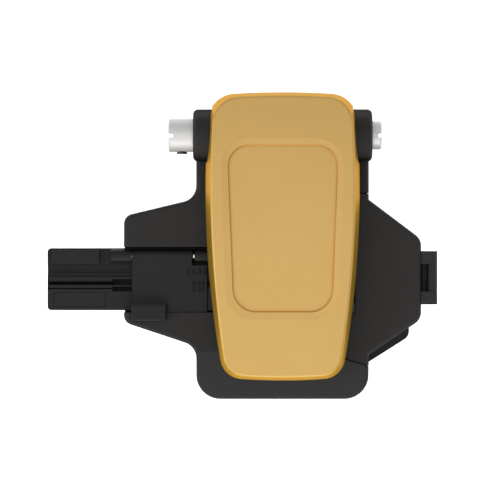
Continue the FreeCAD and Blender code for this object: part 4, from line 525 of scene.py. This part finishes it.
def borderForm(look, lidObject):
    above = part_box("lid_cover")[1].z + look["above"] * mm
    shell = bmesh.new()
    shell.from_mesh(lidObject.data)
    lidShell = BVHTree.FromBMesh(shell)
    shell.free()
    form = bmesh.new()
    edges = []
    for side in (look["outer"], look["inner"]):
        corners = []
        places = outlineCorners(look, side["spread"], side["corner"])
        probes = outlineCorners(look, side["spread"] + side["probe"], side["corner"])
        for place, probe in zip(places, probes):
            height = lidShell.ray_cast(Vector((probe.x, probe.y, above)), Vector((0.0, 0.0, -1.0)))[0].z
            corners.append(form.verts.new((place.x, place.y, height + side["rise"] * mm)))
        edges += [form.edges.new((corners[i - 1], corners[i])) for i in range(len(corners))]
    bmesh.ops.bridge_loops(form, edges=edges)
    lower = bmesh.ops.extrude_face_region(form, geom=form.faces[:])
    moved = [item for item in lower["geom"] if isinstance(item, bmesh.types.BMVert)]
    bmesh.ops.translate(form, verts=moved, vec=(0.0, 0.0, -look["thick"] * mm))
    bmesh.ops.recalc_face_normals(form, faces=form.faces)
    return form


border = pieceFromBmesh("lidBorder", borderForm(borderLook, frame["nodes"]["lid_cover"]), "satinGold", "lid")
border.data.set_sharp_from_angle(angle=math.radians(borderLook["sharpFrom"]))
print("lid border placed")


# index marks on the blade, seen with the lid open

indexLook = {"count": 16, "inner": 5.4, "outer": 6.6, "width": 0.22, "reach": 0.5, "thick": 0.04}


def indexForm(look):
    form = bmesh.new()
    middle = (look["inner"] + look["outer"]) / 2
    size = Matrix.Diagonal((look["thick"] * mm, look["width"] * mm, (look["outer"] - look["inner"]) * mm, 1.0))
    for step in range(look["count"]):
        turn = Matrix.Rotation(step * 2 * math.pi / look["count"], 4, "X")
        for side in (-1.0, 1.0):
            mark = bmesh.ops.create_cube(form, size=1.0)
            shape = Matrix.Translation((side * look["reach"] * mm, 0.0, middle * mm)) @ size
            bmesh.ops.transform(form, matrix=turn @ shape, verts=mark["verts"])
    return form


indexMarks = indexForm(indexLook)
bmesh.ops.translate(indexMarks, verts=indexMarks.verts, vec=middleOf(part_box("blade")))
pieceFromBmesh("bladeMarks", indexMarks, "darkMark", "blade_disc", False)
print("blade marks placed")


# springs on the hinge shaft, seen from behind

springLook = {"wire": 0.4, "coil": 3.15, "turns": 5.5, "length": 4.2, "outer": 7.4, "longLeg": 12.4,
              "shortLeg": 3.4, "wireSides": 10, "stepsPerTurn": 24}


def springForm(look, side):
    # a closed disc swept round the X axis, with a long leg on the outer end and a short one on the inner
    form = bmesh.new()
    disc = bmesh.ops.create_circle(form, cap_ends=True, segments=look["wireSides"], radius=look["wire"] * mm)
    bmesh.ops.transform(form, matrix=Matrix.Translation((0.0, look["coil"] * mm, 0.0)), verts=disc["verts"])
    steps = int(look["turns"] * look["stepsPerTurn"])
    bmesh.ops.spin(form, geom=list(form.verts) + list(form.edges) + list(form.faces), cent=(0.0, 0.0, 0.0),
                   axis=(1.0, 0.0, 0.0), dvec=(look["length"] * mm / steps, 0.0, 0.0), steps=steps,
                   angle=look["turns"] * 2 * math.pi, use_duplicate=False)
    for along, back, leg in ((0.0, 1.0, look["longLeg"]), (look["length"], -1.0, look["shortLeg"])):
        wire = bmesh.ops.create_cone(form, cap_ends=True, segments=look["wireSides"], radius1=look["wire"] * mm,
                                     radius2=look["wire"] * mm, depth=leg * mm)
        bmesh.ops.transform(form, verts=wire["verts"], matrix=Matrix.Translation(
            (along * mm, back * look["coil"] * mm, -leg / 2 * mm)))
    bmesh.ops.transform(form, verts=form.verts, matrix=Matrix.Diagonal((side, 1.0, 1.0, 1.0))
                        @ Matrix.Translation((-look["outer"] * mm, 0.0, 0.0)))
    bmesh.ops.recalc_face_normals(form, faces=form.faces)
    return form


hingeShaft = middleOf(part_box("hinge_shaft"))
for springName, side in (("leftLidSpring", 1.0), ("rightLidSpring", -1.0)):
    spring = springForm(springLook, side)
    bmesh.ops.translate(spring, verts=spring.verts, vec=(0.0, hingeShaft.y, hingeShaft.z))
    pieceFromBmesh(springName, spring, "groundSteel", "base")
print("lid springs placed")


# stage: floor, world, lamps and camera

stageLook = {"floorSize": 3.0, "floorDrop": 0.2 * mm, "floorColour": (0.93, 0.93, 0.93), "floorRoughness": 0.9,
             "floorSpecular": 0.1, "floorGlow": 0.8, "glowColour": (1.0, 1.0, 1.0), "worldColour": (1.0, 1.0, 1.0),
             "worldStrength": 0.42}


def makeFloor():
    form = bmesh.new()
    bmesh.ops.create_grid(form, x_segments=1, y_segments=1, size=stageLook["floorSize"] / 2)
    mesh = bpy.data.meshes.new("studioFloor")
    form.to_mesh(mesh)
    form.free()
    floor = bpy.data.objects.new("studioFloor", mesh)
    floor.location.z = -stageLook["floorDrop"]
    bpy.context.scene.collection.objects.link(floor)
    material = bpy.data.materials.new("floorPale")
    material.use_nodes = True
    tree = material.node_tree
    shader = tree.nodes["Principled BSDF"].inputs
    shader["Base Color"].default_value = stageLook["floorColour"] + (1.0,)
    shader["Roughness"].default_value = stageLook["floorRoughness"]
    shader["Specular IOR Level"].default_value = stageLook["floorSpecular"]
    shader["Emission Color"].default_value = stageLook["glowColour"] + (1.0,)
    light = tree.nodes.new("ShaderNodeLightPath")
    seen = mathNode(tree, "ADD", light.outputs["Is Camera Ray"], light.outputs["Is Glossy Ray"], clamp=True)
    seen = mathNode(tree, "ADD", seen, light.outputs["Is Transmission Ray"], clamp=True)
    feed(tree, shader["Emission Strength"], mathNode(tree, "MULTIPLY", seen, stageLook["floorGlow"]))
    mesh.materials.append(material)


def makeWorld():
    world = bpy.data.worlds.new("studioWorld")
    bpy.context.scene.world = world
    world.use_nodes = True
    tree = world.node_tree
    background = tree.nodes["Background"]
    background.inputs["Color"].default_value = stageLook["worldColour"] + (1.0,)
    light = tree.nodes.new("ShaderNodeLightPath")
    lift = mathNode(tree, "MULTIPLY", light.outputs["Is Camera Ray"], 1.0 - stageLook["worldStrength"])
    feed(tree, background.inputs["Strength"], mathNode(tree, "ADD", lift, stageLook["worldStrength"]))


lampLooks = {
    "topPanel": {"place": (-0.16, -0.14, 0.95), "aim": (0.0, 0.0, 0.0), "size": 1.1, "power": 4.1},
    "leftPanel": {"place": (-0.85, -0.2, 0.55), "aim": (0.0, 0.0, 0.02), "size": 0.7, "power": 3.6},
    "rightPanel": {"place": (0.9, 0.1, 0.5), "aim": (0.0, 0.0, 0.02), "size": 0.7, "power": 1.2},
    "backPanel": {"place": (0.1, 0.95, 0.6), "aim": (0.0, 0.0, 0.02), "size": 0.7, "power": 0.8},
    "frontPanel": {"place": (0.0, -0.95, 0.6), "aim": (0.0, 0.0, 0.02), "size": 0.7, "power": 5.0},
}


def makeLamp(name, look):
    lamp = bpy.data.lights.new(name, "AREA")
    lamp.shape = "SQUARE"
    lamp.size = look["size"]
    lamp.energy = look["power"]
    holder = bpy.data.objects.new(name, lamp)
    bpy.context.scene.collection.objects.link(holder)
    place = Vector(look["place"])
    holder.location = place
    holder.rotation_euler = (Vector(look["aim"]) - place).to_track_quat("-Z", "Y").to_euler()


cameraLook = {"centreX": -9.98 * mm, "centreY": 10.13 * mm, "planeHeight": 33.0 * mm, "width": 153.5 * mm,
              "lens": 350.0, "sensor": 36.0, "seenFrom": 0.1, "seenTo": 4.0}


def makeCamera():
    lens = bpy.data.cameras.new("topCamera")
    lens.lens = cameraLook["lens"]
    lens.sensor_width = cameraLook["sensor"]
    away = cameraLook["width"] * cameraLook["lens"] / cameraLook["sensor"]
    lens.clip_start = away * cameraLook["seenFrom"]
    lens.clip_end = away * cameraLook["seenTo"]
    holder = bpy.data.objects.new("topCamera", lens)
    bpy.context.scene.collection.objects.link(holder)
    holder.location = (cameraLook["centreX"], cameraLook["centreY"], cameraLook["planeHeight"] + away)
    bpy.context.scene.camera = holder


makeFloor()
makeWorld()
for lampName, lampLook in lampLooks.items():
    makeLamp(lampName, lampLook)
makeCamera()
bpy.context.scene.view_settings.view_transform = "Standard"
print("stage ready")
